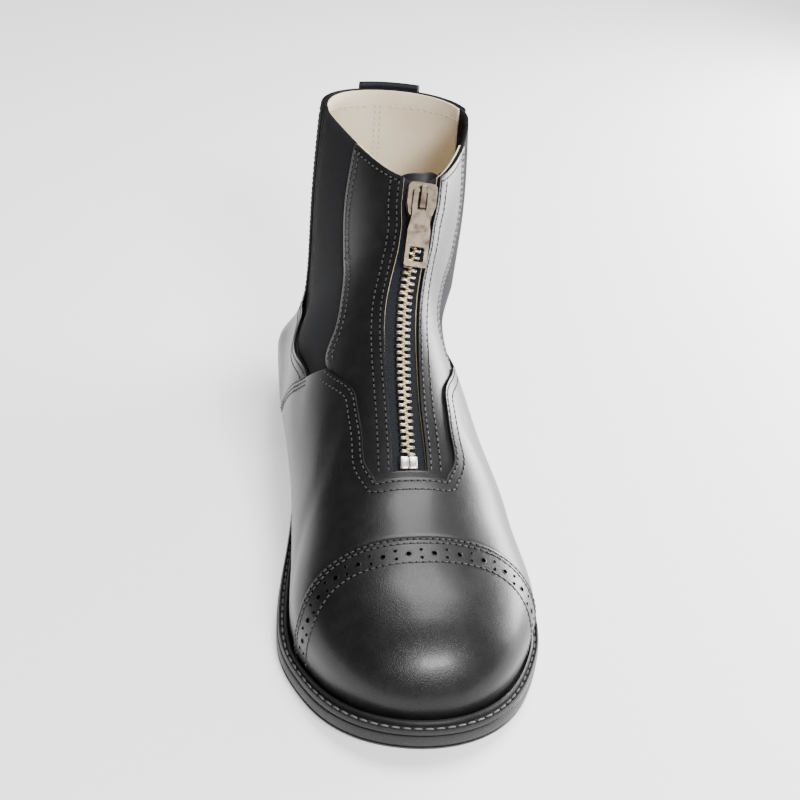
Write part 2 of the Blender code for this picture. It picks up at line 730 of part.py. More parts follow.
def make_zip(tape_look, tooth_look, guard_look):
    rows = [s for s in ROWS if s >= VAMP_EDGE]
    tape_out = -(WALL + 2 * GAP)
    reaches = np.linspace(-1, 1, 5) * TAPE_REACH
    tape_grid = np.array([[beside_ridge(s, reach) for reach in reaches] for s in rows])
    patch("zip_tape", tape_grid, TAPE_THICKNESS, tape_out, tape_look)
    guard_out = tape_out - TAPE_THICKNESS - 2 * GAP
    guard_reaches = np.linspace(-1, 1, 7) * GUARD_REACH
    patch("zip_guard", guard_grid(6, guard_reaches), GUARD_THICKNESS, guard_out, guard_look)

    floor = tape_out + GAP
    start = STOP_PLACE + STOP_LENGTH + 2 * GAP
    end = ZIP_LENGTH - SLIDER_LENGTH * 0.6
    teeth = int((end - start) / TOOTH_PITCH)
    points = []
    for k in range(teeth):
        for share, width, top in (
            (0.0, TOOTH_WIDTH, TOOTH_HEIGHT), (0.5, TOOTH_WIDTH, TOOTH_HEIGHT),
            (0.5, TOOTH_WIDTH * 0.72, TOOTH_HEIGHT * 0.5), (1.0, TOOTH_WIDTH * 0.72, TOOTH_HEIGHT * 0.5),
        ):
            place, _, away, across = ridge_frame(section_at(start + (k + share) * TOOTH_PITCH))
            for x, z in ((-1, 0.0), (1, 0.0), (1, 1.0), (-1, 1.0)):
                points.append(place + across * x * width / 2 + away * (floor + z * top))
    rings = len(points) // 4
    faces = [(0, 1, 2, 3), tuple(4 * (rings - 1) + k for k in (3, 2, 1, 0))]
    for ring in range(rings - 1):
        for k in range(4):
            n = (k + 1) % 4
            a = ring * 4
            faces.append((a + k, a + n, a + 4 + n, a + 4 + k))
    mesh_object("zip_teeth", points, faces, tooth_look, closed=True)


def zip_matrix(length, up=0.0, along=0.0):
    """Places a small piece on the zip: its x across, its y up the zip, its z away from the foot."""
    place, y_axis, z_axis, x_axis = ridge_frame(section_at(length))
    place = place + z_axis * up + y_axis * along
    turn = np.column_stack([x_axis, y_axis, z_axis, place])
    return Matrix([*turn.tolist(), (0, 0, 0, 1)])


def block(name, size, centre, group):
    bpy.ops.mesh.primitive_cube_add(size=1.0)
    made = bpy.context.object
    made.name = name
    made.data.name = name
    made.data.transform(Matrix.Translation(centre) @ Matrix.Diagonal((*size, 1.0)))
    for owner in list(made.users_collection):
        owner.objects.unlink(made)
    group.objects.link(made)
    if group is cutters:
        made.hide_render = True
        made.display_type = "WIRE"
    return made


def flat_shape(name, outlines, thickness):
    """A mesh plate from 2D outlines, the first its edge and the others its holes."""
    curve = bpy.data.curves.new(name, "CURVE")
    curve.dimensions = "2D"
    curve.fill_mode = "BOTH"
    curve.extrude = thickness / 2
    for outline in outlines:
        spline_ = curve.splines.new("POLY")
        spline_.points.add(len(outline) - 1)
        for point, (x, y) in zip(spline_.points, outline):
            point.co = (x, y, 0.0, 1.0)
        spline_.use_cyclic_u = True
    holder = bpy.data.objects.new(name, curve)
    parts.objects.link(holder)
    mesh = bpy.data.meshes.new_from_object(holder.evaluated_get(bpy.context.evaluated_depsgraph_get()))
    bpy.data.objects.remove(holder)
    work = bmesh.new()
    work.from_mesh(mesh)
    bmesh.ops.remove_doubles(work, verts=work.verts, dist=1e-6)
    bmesh.ops.recalc_face_normals(work, faces=work.faces)
    work.to_mesh(mesh)
    work.free()
    return mesh


def round_corners(corners, radius, steps=4):
    """An outline through corners, each rounded by an arc."""
    outline = []
    for k, corner in enumerate(corners):
        here = np.array(corner)
        before = np.array(corners[k - 1]) - here
        after = np.array(corners[(k + 1) % len(corners)]) - here
        before /= np.linalg.norm(before)
        after /= np.linalg.norm(after)
        half = math.acos(float(np.clip(before @ after, -1, 1))) / 2
        reach = radius / math.tan(half)
        middle = (before + after) / np.linalg.norm(before + after) * radius / math.sin(half) + here
        start = here + before * reach - middle
        end = here + after * reach - middle
        angle = math.atan2(start[0] * end[1] - start[1] * end[0], start @ end)
        for i in range(steps + 1):
            turn = angle * i / steps
            c, s = math.cos(turn), math.sin(turn)
            outline.append(tuple(middle + (start[0] * c - start[1] * s, start[0] * s + start[1] * c)))
    return outline


def round_edges(made):
    edge = made.modifiers.new("edge", "BEVEL")
    edge.width = METAL_ROUND
    edge.segments = 2


def boolean(target, operation, tool):
    step = target.modifiers.new(operation.lower(), "BOOLEAN")
    step.operation = operation
    step.object = tool


def make_slider_and_pull(metal_look, stop_look):
    tape = -(WALL + 2 * GAP)
    stop = block("zip_bottom_stop", (TOOTH_WIDTH * 1.08, STOP_LENGTH, TOOTH_HEIGHT * 1.1), (0, 0, 0), parts)
    stop.matrix_world = zip_matrix(STOP_LENGTH / 2 + STOP_PLACE, tape + GAP * 1.5 + TOOTH_HEIGHT * 0.55)
    stop.data.materials.append(stop_look)
    round_edges(stop)

    # The slider's own axes: x across, y up the zip, z away from the foot, from the leather's surface.
    middle = ZIP_LENGTH - 0.0012 - SLIDER_LENGTH / 2
    roof = CLEARANCE + SLIDER_ROOF
    foot = tape + CLEARANCE
    wide, half = SLIDER_WIDTH / 2, SLIDER_LENGTH / 2
    outline = round_corners([
        (wide, half), (wide, -half * 0.25), (wide * 0.76, -half),
        (-wide * 0.76, -half), (-wide, -half * 0.25), (-wide, half),
    ], 0.0022)
    mesh = flat_shape("zip_slider", [outline], roof - foot)
    slider = add_part("zip_slider", mesh, metal_look)
    slider.data.transform(Matrix.Translation((0, 0, (roof + foot) / 2)))
    slider.matrix_world = zip_matrix(middle)
    channel_height = CLEARANCE - foot + 0.001
    channel = block(
        "slider_channel", (TOOTH_WIDTH + 2 * CLEARANCE, SLIDER_LENGTH * 1.2, channel_height),
        (0, 0, CLEARANCE - channel_height / 2), cutters,
    )
    channel.matrix_world = slider.matrix_world
    window_height = PULL_THICKNESS + 2 * CLEARANCE
    window = (-half * 0.42, half * 0.63)
    window_length = window[1] - window[0]
    window_middle = (window[0] + window[1]) / 2
    sunk = 0.0003
    bridge = block(
        "slider_bridge",
        (BRIDGE_WIDTH, window_length + 2 * BRIDGE_BAR, window_height + BRIDGE_BAR + sunk),
        (0, window_middle, roof + (window_height + BRIDGE_BAR - sunk) / 2), cutters,
    )
    round_edges(bridge)
    eye = block(
        "bridge_window", (BRIDGE_WIDTH * 2, window_length, window_height),
        (0, window_middle, roof + window_height / 2), cutters,
    )
    for tool in (bridge, eye):
        tool.matrix_world = slider.matrix_world
    boolean(slider, "DIFFERENCE", channel)
    boolean(slider, "UNION", bridge)
    boolean(slider, "DIFFERENCE", eye)

    # The pull turns on its crossbar, which runs through the bridge.
    crossbar = 0.0012
    pivot_along = window[1] - CLEARANCE - crossbar / 2 - 0.0001
    pivot_up = roof + window_height / 2
    arm = BRIDGE_WIDTH / 2 + CLEARANCE * 1.5
    shoulder = arm + 0.0021
    reach = pivot_along - window[0] + BRIDGE_BAR + CLEARANCE * 2
    tip = -PULL_LENGTH + crossbar / 2
    broad = PULL_WIDTH / 2
    outline = round_corners([
        (shoulder, crossbar / 2), (-shoulder, crossbar / 2), (-shoulder, -reach * 0.85),
        (-shoulder * 0.94, -reach * 1.25), (-broad, -reach * 2.0), (-broad, tip),
        (broad, tip), (broad, -reach * 2.0), (shoulder * 0.94, -reach * 1.25), (shoulder, -reach * 0.85),
    ], 0.0009, 3)
    eyelet = round_corners([
        (-arm, -crossbar / 2), (arm, -crossbar / 2), (arm, -reach), (-arm, -reach),
    ], 0.0004, 2)
    low = tip + 0.0022
    side = PULL_HOLE / 2
    hole = round_corners([
        (-side, low + PULL_HOLE), (side, low + PULL_HOLE), (side, low), (-side, low),
    ], 0.0008, 3)
    mesh = flat_shape("zip_pull", [outline, eyelet, hole], PULL_THICKNESS)
    pull = add_part("zip_pull", mesh, metal_look)
    pull.matrix_world = zip_matrix(middle, pivot_up, pivot_along)


def back_strip(s, across):
    """Points of the back at section s, at places across from its seam, with their outward directions."""
    h = np.linspace(0.0, 0.35, 160) ** 2
    inner = last_point(s, h[::-1], -1)
    outer = last_point(s, h[1:], 1)
    line = np.concatenate([inner, outer])
    seam = line[len(inner) - 1, 0]
    points = np.stack([np.interp(seam + across, line[:, 0], line[:, k]) for k in range(3)], -1)
    along = np.gradient(points[:, :2], axis=0)
    away = np.stack([-along[:, 1], along[:, 0], 0 * along[:, 0]], -1)
    return points, away / np.linalg.norm(away, axis=1, keepdims=True)


def make_pull_loop(look):
    """A strap folded over the back of the collar and sewn to the back panel."""
    across = np.linspace(-0.5, 0.5, 5) * LOOP_WIDTH + LOOP_ASIDE
    under = VAMP_THICKNESS + 2.5 * GAP + STRAP_THICKNESS / 2
    fold = STRAP_THICKNESS / 2 + GAP
    sections = np.linspace(HEEL_ROW, LAST_ROW, 60)
    seam = last_point(sections, 0.0, 1)[:, 2]
    top = LOOP_STAND - fold - STRAP_THICKNESS / 2
    path = [(-LOOP_LENGTH * share, under) for share in (1.0, 0.7, 0.35, 0.0)]
    for turn in np.linspace(0, math.pi, 7):
        path.append((top + fold * math.sin(turn), under + fold * (1 - math.cos(turn))))
    path += [(-LOOP_LENGTH * share, under + 2 * fold) for share in (0.35, 0.65, 0.93)]
    grid = []
    for below, out in path:
        z = BACK_HEIGHT + below
        points, away = back_strip(np.interp(min(z, BACK_HEIGHT), seam, sections), across)
        line = points + away * out
        line[:, 2] += max(0.0, below)
        grid.append(line)
    patch("pull_loop", np.array(grid), STRAP_THICKNESS, STRAP_THICKNESS / 2, look, flip=True)


black_leather = material("black_leather", (0.012, 0.012, 0.013), 0.32)
toe_leather = material("toe_leather", (0.013, 0.013, 0.014), 0.27)
elastic = material("elastic", (0.018, 0.018, 0.020), 0.85)
rubber = material("rubber", (0.016, 0.016, 0.017), 0.55)
heel_stack = material("heel_stack", (0.014, 0.013, 0.013), 0.45)
lining = material("lining", (0.80, 0.71, 0.58), 0.60)
webbing = material("webbing", (0.014, 0.015, 0.018), 0.80)
brass = material("antique_brass", (0.36, 0.30, 0.22), 0.35, 1.0)
nickel = material("nickel", (0.72, 0.70, 0.66), 0.30, 1.0)

make_outsole(rubber)
make_heel(heel_stack, rubber)
make_welt(rubber)
make_insole(lining)
make_leather(black_leather, toe_leather)
make_gores(elastic)
make_zip(webbing, nickel, black_leather)
make_slider_and_pull(brass, nickel)
make_pull_loop(webbing)

to_origin = Matrix.Translation((-ORIGIN[0], -ORIGIN[1], 0.0))
for made in [*parts.objects, *cutters.objects]:
    made.matrix_world = to_origin @ made.matrix_world
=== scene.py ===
# %% [markdown]
# A paddock boot, dressed for its portrait.
#
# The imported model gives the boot's solids as a fixed frame. Their shapes and places are right, but they are
# coarse, so most of the leather and the sole is made again here on the same last, fine and smooth, and each
# new piece stands for the solid that it covers. The zip's slider and pull are hard pieces: they stay and only
# get their metal.

import math

import bmesh
import bpy
import numpy as np
from mathutils import Matrix, Vector
from mathutils.bvhtree import BVHTree


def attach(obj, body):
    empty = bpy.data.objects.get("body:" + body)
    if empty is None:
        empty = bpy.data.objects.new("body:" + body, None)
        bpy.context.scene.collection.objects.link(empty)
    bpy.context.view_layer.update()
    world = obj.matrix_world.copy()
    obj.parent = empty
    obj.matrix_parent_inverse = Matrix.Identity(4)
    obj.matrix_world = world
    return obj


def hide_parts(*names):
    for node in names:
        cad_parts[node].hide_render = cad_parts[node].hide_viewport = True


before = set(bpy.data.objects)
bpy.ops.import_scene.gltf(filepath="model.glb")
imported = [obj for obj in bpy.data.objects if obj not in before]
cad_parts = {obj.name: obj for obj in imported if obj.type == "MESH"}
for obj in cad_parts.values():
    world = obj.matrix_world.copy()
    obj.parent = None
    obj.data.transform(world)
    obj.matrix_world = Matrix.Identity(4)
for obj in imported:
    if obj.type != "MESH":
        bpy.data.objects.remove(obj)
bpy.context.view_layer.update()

# %% [markdown]
# The camera comes first. The photograph was taken from in front, a little to the inner side and well above,
# so we look down on the toe and into the collar. The camera stands where the photographer stood, turned by
# the smallest turn that brings this one boot to the middle. So the boot keeps its perspective and its slight
# tilt to the right.

# %% The camera
CAMERA_PLACE = Vector((-0.0834, -0.4419, 0.3707))
CAMERA_AIM = Vector((0.002, 0.002, 0.068))
PITCH, ROLL, YAW = (math.radians(a) for a in (36.0, 0.93, 3.11))
FOCAL_PIXELS = 1240.0
IMAGE_PIXELS = 800


def turned_camera():
    """The photograph's camera, turned by the smallest turn that points it at the boot."""
    forward = Vector((0.0, math.cos(PITCH), -math.sin(PITCH)))
    right = Vector((1.0, 0.0, 0.0))
    up = right.cross(forward)
    rolled = Matrix.Rotation(-YAW, 3, "Z")
    right, up = math.cos(ROLL) * right + math.sin(ROLL) * up, math.cos(ROLL) * up - math.sin(ROLL) * right
    right, up, forward = rolled @ right, rolled @ up, rolled @ forward
    wanted = (CAMERA_AIM - CAMERA_PLACE).normalized()
    turn = forward.rotation_difference(wanted).to_matrix()
    right, up = turn @ right, turn @ up
    return Matrix((right, up, -wanted)).transposed()


lens = bpy.data.cameras.new("portrait")
lens.sensor_width = 36.0
lens.lens = FOCAL_PIXELS / IMAGE_PIXELS * lens.sensor_width
lens.clip_start = 0.01
camera = bpy.data.objects.new("portrait", lens)
camera.matrix_world = Matrix.Translation(CAMERA_PLACE) @ turned_camera().to_4x4()
bpy.context.scene.collection.objects.link(camera)
bpy.context.scene.camera = camera

# %% [markdown]
# A shop picture of black leather is all about what the leather reflects. A low, wide lamp beside the outer
# side gives the pale sheen down that side, and a faint wall of light above it softens the sheen's edge. A
# lamp overhead draws the tops of the vamp and the cap, and a small window in front leaves the bright spot on
# the toe. The world is white but weak, and the floor glows a little, like a lit sweep of paper, so the
# shadows stay open.


# %% Light and floor
def lamp(name, place, target, size, power):
    data = bpy.data.lights.new(name, "AREA")
    data.shape = "RECTANGLE"
    data.size, data.size_y = size
    data.energy = power
    made = bpy.data.objects.new(name, data)
    way = Vector(target) - Vector(place)
    made.matrix_world = Matrix.Translation(place) @ way.to_track_quat("-Z", "Y").to_matrix().to_4x4()
    bpy.context.scene.collection.objects.link(made)


lamp("outer_softbox", (0.75, 0.28, 0.16), (0.0, 0.02, 0.09), (0.7, 0.28), 26.0)
lamp("outer_wall", (1.15, 0.25, 0.55), (0.0, 0.0, 0.08), (0.9, 1.3), 4.0)
lamp("overhead", (0.22, 0.14, 1.42), (0.0, 0.0, 0.0), (0.8, 0.6), 30.0)
lamp("toe_window", (0.30, -1.15, 0.95), (0.0, -0.10, 0.04), (0.42, 0.24), 26.0)

world = bpy.data.worlds.new("studio")
world.use_nodes = True
background = world.node_tree.nodes["Background"].inputs
background["Color"].default_value = (1.0, 1.0, 1.0, 1.0)
background["Strength"].default_value = 0.12
bpy.context.scene.world = world


def mesh_of(name, work):
    """Ends a piece of mesh work."""
    mesh = bpy.data.meshes.new(name)
    work.to_mesh(mesh)
    work.free()
    return mesh


def place_in_scene(name, mesh, *looks):
    for look in looks:
        mesh.materials.append(look)
    mesh.shade_smooth()
    made = bpy.data.objects.new(name, mesh)
    bpy.context.scene.collection.objects.link(made)
    return made


# %% [markdown]
# Materials are node trees, but maths in node trees is hard to read. One small class wraps a socket and lets
# us write the maths as Python: `mask * 0.4 + 0.1` adds the two Math nodes. `Paint` holds one material, and
# its `node` method adds any other node.


# %% A small language for materials
class Value:
    """A socket, with Python's operators on it."""

    def __init__(self, paint, socket):
        self.paint = paint
        self.socket = socket

    def maths(self, operation, *others):
        return self.paint.node("ShaderNodeMath", {"operation": operation}, self, *others)

    def __add__(self, other):
        return self.maths("ADD", other)

    def __sub__(self, other):
        return self.maths("SUBTRACT", other)

    def __rsub__(self, other):
        return self.paint.node("ShaderNodeMath", {"operation": "SUBTRACT"}, other, self)

    def __mul__(self, other):
        return self.maths("MULTIPLY", other)

    def __pow__(self, other):
        return self.maths("POWER", other)

    __radd__ = __add__
    __rmul__ = __mul__

    def step(self, low, high, start=0.0, end=1.0):
        """Runs smoothly from start to end as the value goes from low to high."""
        smooth = {"interpolation_type": "SMOOTHSTEP"}
        return self.paint.node("ShaderNodeMapRange", smooth, self, low, high, start, end, out="Result")


class Paint:
    """One material with a Principled shader."""

    def __init__(self, name, colour, roughness, metallic=0.0, **constants):
        self.material = bpy.data.materials.new(name)
        self.material.use_nodes = True
        self.tree = self.material.node_tree
        self.shader = self.tree.nodes["Principled BSDF"]
        self.put("Base Color", colour)
        self.put("Roughness", roughness)
        self.put("Metallic", metallic)
        for key, value in constants.items():
            self.put(key.replace("_", " "), value)

    def put(self, socket, value):
        target = self.shader.inputs[socket]
        if isinstance(value, Value):
            self.tree.links.new(value.socket, target)
        elif isinstance(value, tuple):
            target.default_value = (*value, 1.0)[: len(target.default_value)]
        else:
            target.default_value = value

    def node(self, kind, settings, *values, out=None, **named):
        made = self.tree.nodes.new(kind)
        for key, value in settings.items():
            setattr(made, key, value)
        pairs = [(made.inputs[i], value) for i, value in enumerate(values)]
        pairs += [(made.inputs[key.replace("_", " ")], value) for key, value in named.items()]
        for target, value in pairs:
            if isinstance(value, Value):
                self.tree.links.new(value.socket, target)
            elif value is not None:
                target.default_value = value
        return Value(self, made.outputs[out] if out else made.outputs[0])

    def here(self):
        return self.node("ShaderNodeTexCoord", {}, out="Object")

    def cloth_map(self):
        return self.node("ShaderNodeUVMap", {"uv_map": "UVMap"})

    def noise(self, scale, detail=3.0, rough=0.5):
        return self.node(
            "ShaderNodeTexNoise", {}, Vector=self.here(), Scale=scale, Detail=detail, Roughness=rough, out=0
        )

    def cells(self, scale, feature="F1"):
        return self.node(
            "ShaderNodeTexVoronoi", {"feature": feature}, Vector=self.here(), Scale=scale, out="Distance"
        )

    def mix(self, share, first, second):
        made = self.tree.nodes.new("ShaderNodeMix")
        made.data_type = "RGBA"
        for i, value in ((0, share), (6, first), (7, second)):
            if isinstance(value, Value):
                self.tree.links.new(value.socket, made.inputs[i])
            else:
                made.inputs[i].default_value = value if i == 0 else (*value, 1.0)
        return Value(self, made.outputs[2])

    def axes(self, where=None):
        made = self.tree.nodes.new("ShaderNodeSeparateXYZ")
        self.tree.links.new((where or self.here()).socket, made.inputs[0])
        return [Value(self, made.outputs[i]) for i in range(3)]

    def relief(self, height, depth):
        """Bumps the surface by height times depth, in metres."""
        bump = self.node("ShaderNodeBump", {}, Strength=1.0, Distance=depth, Height=height, out="Normal")
        self.put("Normal", bump)


# %% [markdown]
# Smooth calf leather has three scales of life: broad clouds where polish lies thicker, a faint net of grain,
# and pores that only show in the highlights. Grain goes in the bump, the clouds go in the roughness, and a
# thin coat stands for the polish. The toe is polished a little more than the rest.


# %% Leathers
def black_leather(name, colour, shine, coat):
    paint = Paint(name, colour, shine, Coat_Weight=coat, Coat_Roughness=0.20, Specular_IOR_Level=0.26)
    clouds = paint.noise(22.0, 3.0)
    rub = paint.noise(140.0, 4.0, rough=0.65)
    grain = paint.cells(1300.0, feature="DISTANCE_TO_EDGE").step(0.0, 0.28)
    pores = paint.noise(2600.0, 2.0)
    paint.put("Roughness", shine - 0.07 + clouds * 0.10 + rub * 0.07)
    dull = tuple(c * 1.7 + 0.002 for c in colour)
    paint.put("Base Color", paint.mix(rub.step(0.35, 0.75) * 0.55, colour, dull))
    paint.relief(grain * 0.5 + pores * 0.35 + rub * 0.7 + clouds * 2.5, 0.00005)
    return paint.material


upper_leather = black_leather("black_leather", (0.0060, 0.0059, 0.0062), 0.35, 0.09)
toe_leather = black_leather("toe_leather", (0.0055, 0.0054, 0.0056), 0.33, 0.13)

cream = Paint("lining", (0.86, 0.76, 0.61), 0.62)
cream_cloud = cream.noise(45.0, 4.0)
cream.put("Base Color", cream.mix(cream_cloud.step(0.3, 0.75), (0.97, 0.84, 0.63), (0.91, 0.75, 0.52)))
cream.relief(cream.cells(900.0).step(0.0, 0.5) * 0.6 + cream_cloud * 1.5, 0.00012)
lining_leather = cream.material

# %% [markdown]
# Elastic gore is knitted in fine upright ribs over rubber threads. The pieces carry a map in metres, so the
# ribs can follow them round the ankle. Woven tape is a small check of threads in the same map. Both are
# painted lighter on their raised ribs and threads, with painted shade in the hollows between them. Thread is
# twisted, but its stitches get only a fine grain in their bump.

# %% Cloth, thread, rubber and metal
RIB = 0.0011  # pitch of the elastic's ribs
THREAD = 0.0007  # pitch of the webbing's threads
LIFT = 0.0045  # height of one layer of the heel's stack
gore_paint = Paint("elastic", (0.008, 0.008, 0.009), 0.85, Specular_IOR_Level=0.15)
across, along, _ = gore_paint.axes(gore_paint.cloth_map())
rib = (across * (2 * math.pi / RIB)).maths("SINE") * 0.5 + 0.5
knit = (along * (2 * math.pi / (RIB * 0.8))).maths("SINE") * 0.5 + 0.5
# The ribs' tops are painted lighter and the grooves between them darker: painted highlight and shade that
# follow the bump.
rib_shaded_colour = gore_paint.mix(rib * 0.7 + knit * 0.3, (0.003, 0.003, 0.004), (0.014, 0.014, 0.017))
gore_paint.put("Base Color", rib_shaded_colour)
gore_paint.relief(rib + knit * rib * 0.35, 0.00028)
elastic = gore_paint.material

tape_paint = Paint("webbing", (0.012, 0.014, 0.018), 0.80, Specular_IOR_Level=0.2)
across, along, _ = tape_paint.axes(tape_paint.cloth_map())
twill = ((across + along * 0.5) * (2 * math.pi / THREAD)).maths("SINE") * 0.5 + 0.5
weft = (along * (2 * math.pi / THREAD)).maths("SINE") * 0.5 + 0.5
# The threads are painted lighter where they cross on top and darker between them: painted highlight and shade
# that follow the bump.
tape_paint.put("Base Color", tape_paint.mix(twill * weft, (0.005, 0.006, 0.008), (0.030, 0.034, 0.042)))
tape_paint.relief(twill * 0.7 + weft * 0.5, 0.0002)
woven_tape = tape_paint.material


def thread_look(name, colour):
    paint = Paint(name, colour, 0.55)
    paint.relief(paint.noise(2500.0, 2.0), 0.00012)
    return paint.material


black_thread = thread_look("black_thread", (0.034, 0.032, 0.036))
welt_thread = thread_look("welt_thread", (0.10, 0.10, 0.10))

rubber_paint = Paint("rubber", (0.010, 0.010, 0.010), 0.50, Specular_IOR_Level=0.35)
rubber_cloud = rubber_paint.noise(60.0, 4.0)
rubber_speck = rubber_paint.noise(900.0, 3.0)
rubber_paint.put("Roughness", 0.42 + rubber_cloud * 0.18)
rubber_dust = rubber_speck.step(0.5, 0.8) * 0.5
rubber_paint.put("Base Color", rubber_paint.mix(rubber_dust, (0.008, 0.008, 0.008), (0.025, 0.025, 0.025)))
rubber_paint.relief(rubber_speck * 0.6 + rubber_cloud, 0.00015)
rubber = rubber_paint.material

stack_paint = Paint("heel_stack", (0.015, 0.014, 0.014), 0.42, Coat_Weight=0.15, Coat_Roughness=0.3)
_, _, height = stack_paint.axes()
lifts = (height * (2 * math.pi / LIFT)).maths("SINE").step(0.93, 1.0)
stack_paint.relief(lifts * -1.0 + stack_paint.noise(700.0, 3.0) * 0.3, 0.0003)
heel_stack = stack_paint.material


def metal(name, colour, dark, roughness):
    paint = Paint(name, colour, roughness, 1.0)
    tarnish = paint.noise(260.0, 4.0, rough=0.6)
    scratch = paint.noise(1500.0, 2.0)
    paint.put("Base Color", paint.mix(tarnish.step(0.42, 0.72), colour, dark))
    paint.put("Roughness", roughness - 0.05 + tarnish * 0.18)
    paint.relief(scratch, 0.00003)
    return paint.material


antique_brass = metal("antique_brass", (0.115, 0.092, 0.069), (0.045, 0.034, 0.026), 0.33)
nickel = metal("nickel", (0.31, 0.285, 0.235), (0.14, 0.11, 0.075), 0.26)
bright_nickel = metal("bright_nickel", (0.72, 0.71, 0.68), (0.50, 0.48, 0.43), 0.26)
tooth_brass = metal("tooth_brass", (0.36, 0.25, 0.12), (0.20, 0.13, 0.06), 0.28)

# Painted shade: a near-black disc without any shine stands for the shade inside each needle hole and each
# punched hole.
hole_shade_paint = Paint("painted_hole_shade", (0.001, 0.001, 0.001), 0.9, Specular_IOR_Level=0.0)
hole_shade_paint.relief(hole_shade_paint.noise(2000.0), 0.00005)
painted_hole_shade = hole_shade_paint.material

FLOOR_RADIUS = 30.0
floor_paint = Paint("floor", (0.90, 0.90, 0.90), 0.60, Emission_Color=(1.0, 1.0, 1.0), Emission_Strength=0.75)
floor_paint.relief(floor_paint.noise(30.0), 0.0001)
floor_work = bmesh.new()
bmesh.ops.create_circle(floor_work, cap_ends=True, segments=64, radius=FLOOR_RADIUS)
floor = place_in_scene("floor", mesh_of("floor", floor_work), floor_paint.material)

# %% [markdown]
# A shoemaker builds every boot on a last, a solid foot of wood or plastic. Here the last is a function:
# section `s` runs from the toe tip (0) to the collar (13), `h` climbs from the sole (0) to the ridge of the
# foot (1), and `side` is -1 inside and 1 outside. These are the same sizes and sections that the solids were
# built with, so what is made on them lies exactly where the solids lie.

# %% Sizes of the boot
# Overall sizes
LENGTH = 0.285  # outsole, toe tip to heel back
BALL_WIDTH = 0.0945  # upper at the sole line, across the ball
HEEL_WIDTH = 0.064  # upper at the sole line, across the heel
COUNTER_BULGE = 0.0040  # how far each side of the stiffened heel stands out from the sole line
COLLAR_WIDTH = 0.064
SHAFT_LEAN = 0.0085  # how far the back of the shaft stands over to the outer side of the heel
BACK_HEIGHT = 0.160  # ground to the collar at the back seam
FRONT_DROP = 0.007  # how much lower the collar is above the zip
FRONT_HEIGHT = BACK_HEIGHT - FRONT_DROP
RIM_LIFT = 0.004  # how far the collar's sides rise above the line from front to back
TOE_HEIGHT = 0.046  # ground to the top of the toe box
TOE_SPRING = 0.0085
HEEL_HEIGHT = 0.020  # heel block and top piece, under the outsole

# Sole
SOLE_THICKNESS = 0.0075
TOE_FLANGE = 0.0100  # how far the outsole stands out from the sole line of the upper
BALL_FLANGE = 0.0072
HEEL_FLANGE = 0.0054
SOLE_CHAMFER = 0.0010
WELT_BASE = 0.0016  # welt's thickness outside its stitch groove
WELT_RIM = 0.0006  # height of the rim outside the groove
WELT_BEAD = 0.0034  # height of the bead against the upper
TOP_PIECE = 0.0060  # rubber piece under the heel block
HEEL_BREAST = 0.082  # heel's length along the ground
HEEL_TAPER = 0.0016  # how much the heel draws in towards the ground

# Upper
WALL = 0.0026  # leather and lining
VAMP_THICKNESS = 0.0011  # leather of the pieces sewn on top
CAP_THICKNESS = 0.0019
GORE_THICKNESS = 0.0016
GAP = 0.0003  # between pieces that lie on each other
SKIRT = 0.006  # height over which the lower edge of a piece is fitted to the sole

# Zip
ZIP_OPENING = 0.0138  # between the leather edges
SLIDER_OPENING = 0.0160  # the same beside the slider
TAPE_REACH = 0.012  # from the ridge to the tape's edge
TAPE_THICKNESS = 0.0008
GUARD_REACH = 0.0105
GUARD_THICKNESS = 0.0010
GUARD_FOOT = 10.6  # section at which the tab behind the zip's top begins
GUARD_RISE = 0.55  # how many sections its middle rises above the collar
TOOTH_WIDTH = 0.0068
TOOTH_HEIGHT = 0.0026
STOP_LENGTH = 0.0055
STOP_PLACE = 0.0008  # from the foot of the opening to the bottom stop
SLIDER_LENGTH = 0.0150

# Pull loop at the back
LOOP_WIDTH = 0.026
LOOP_ASIDE = 0.005  # how far its middle stands to the outer side of the seam
LOOP_LENGTH = 0.040
LOOP_STAND = 0.0024  # how far it rises above the collar
STRAP_THICKNESS = 0.0014

# %% Tables of the last
# The sole line before its ends are rounded: shares of LENGTH, then shares of the width that the row follows.
FEATHER = (
    # name, station, inner, outer, centre
    ("tip", 0.032, 0.487, 0.446, 0.031),
    ("toe", 0.123, 0.458, 0.481, 0.010),
    ("ball", 0.218, 0.472, 0.528, 0.000),
    ("tread", 0.309, 0.451, 0.536, 0.000),
    ("arch front", 0.386, 0.421, 0.506, 0.000),
    ("arch", 0.484, 0.399, 0.468, -0.006),
    ("waist", 0.579, 0.407, 0.459, -0.026),
    ("breast", 0.684, 0.460, 0.475, -0.044),
    ("seat", 0.807, 0.500, 0.500, -0.048),
    ("heel", 0.905, 0.500, 0.500, -0.046),
    ("back", 0.986, 0.500, 0.500, -0.046),
)
TOE_ROUND = 0.193  # share of LENGTH over which the sole line closes at the toe

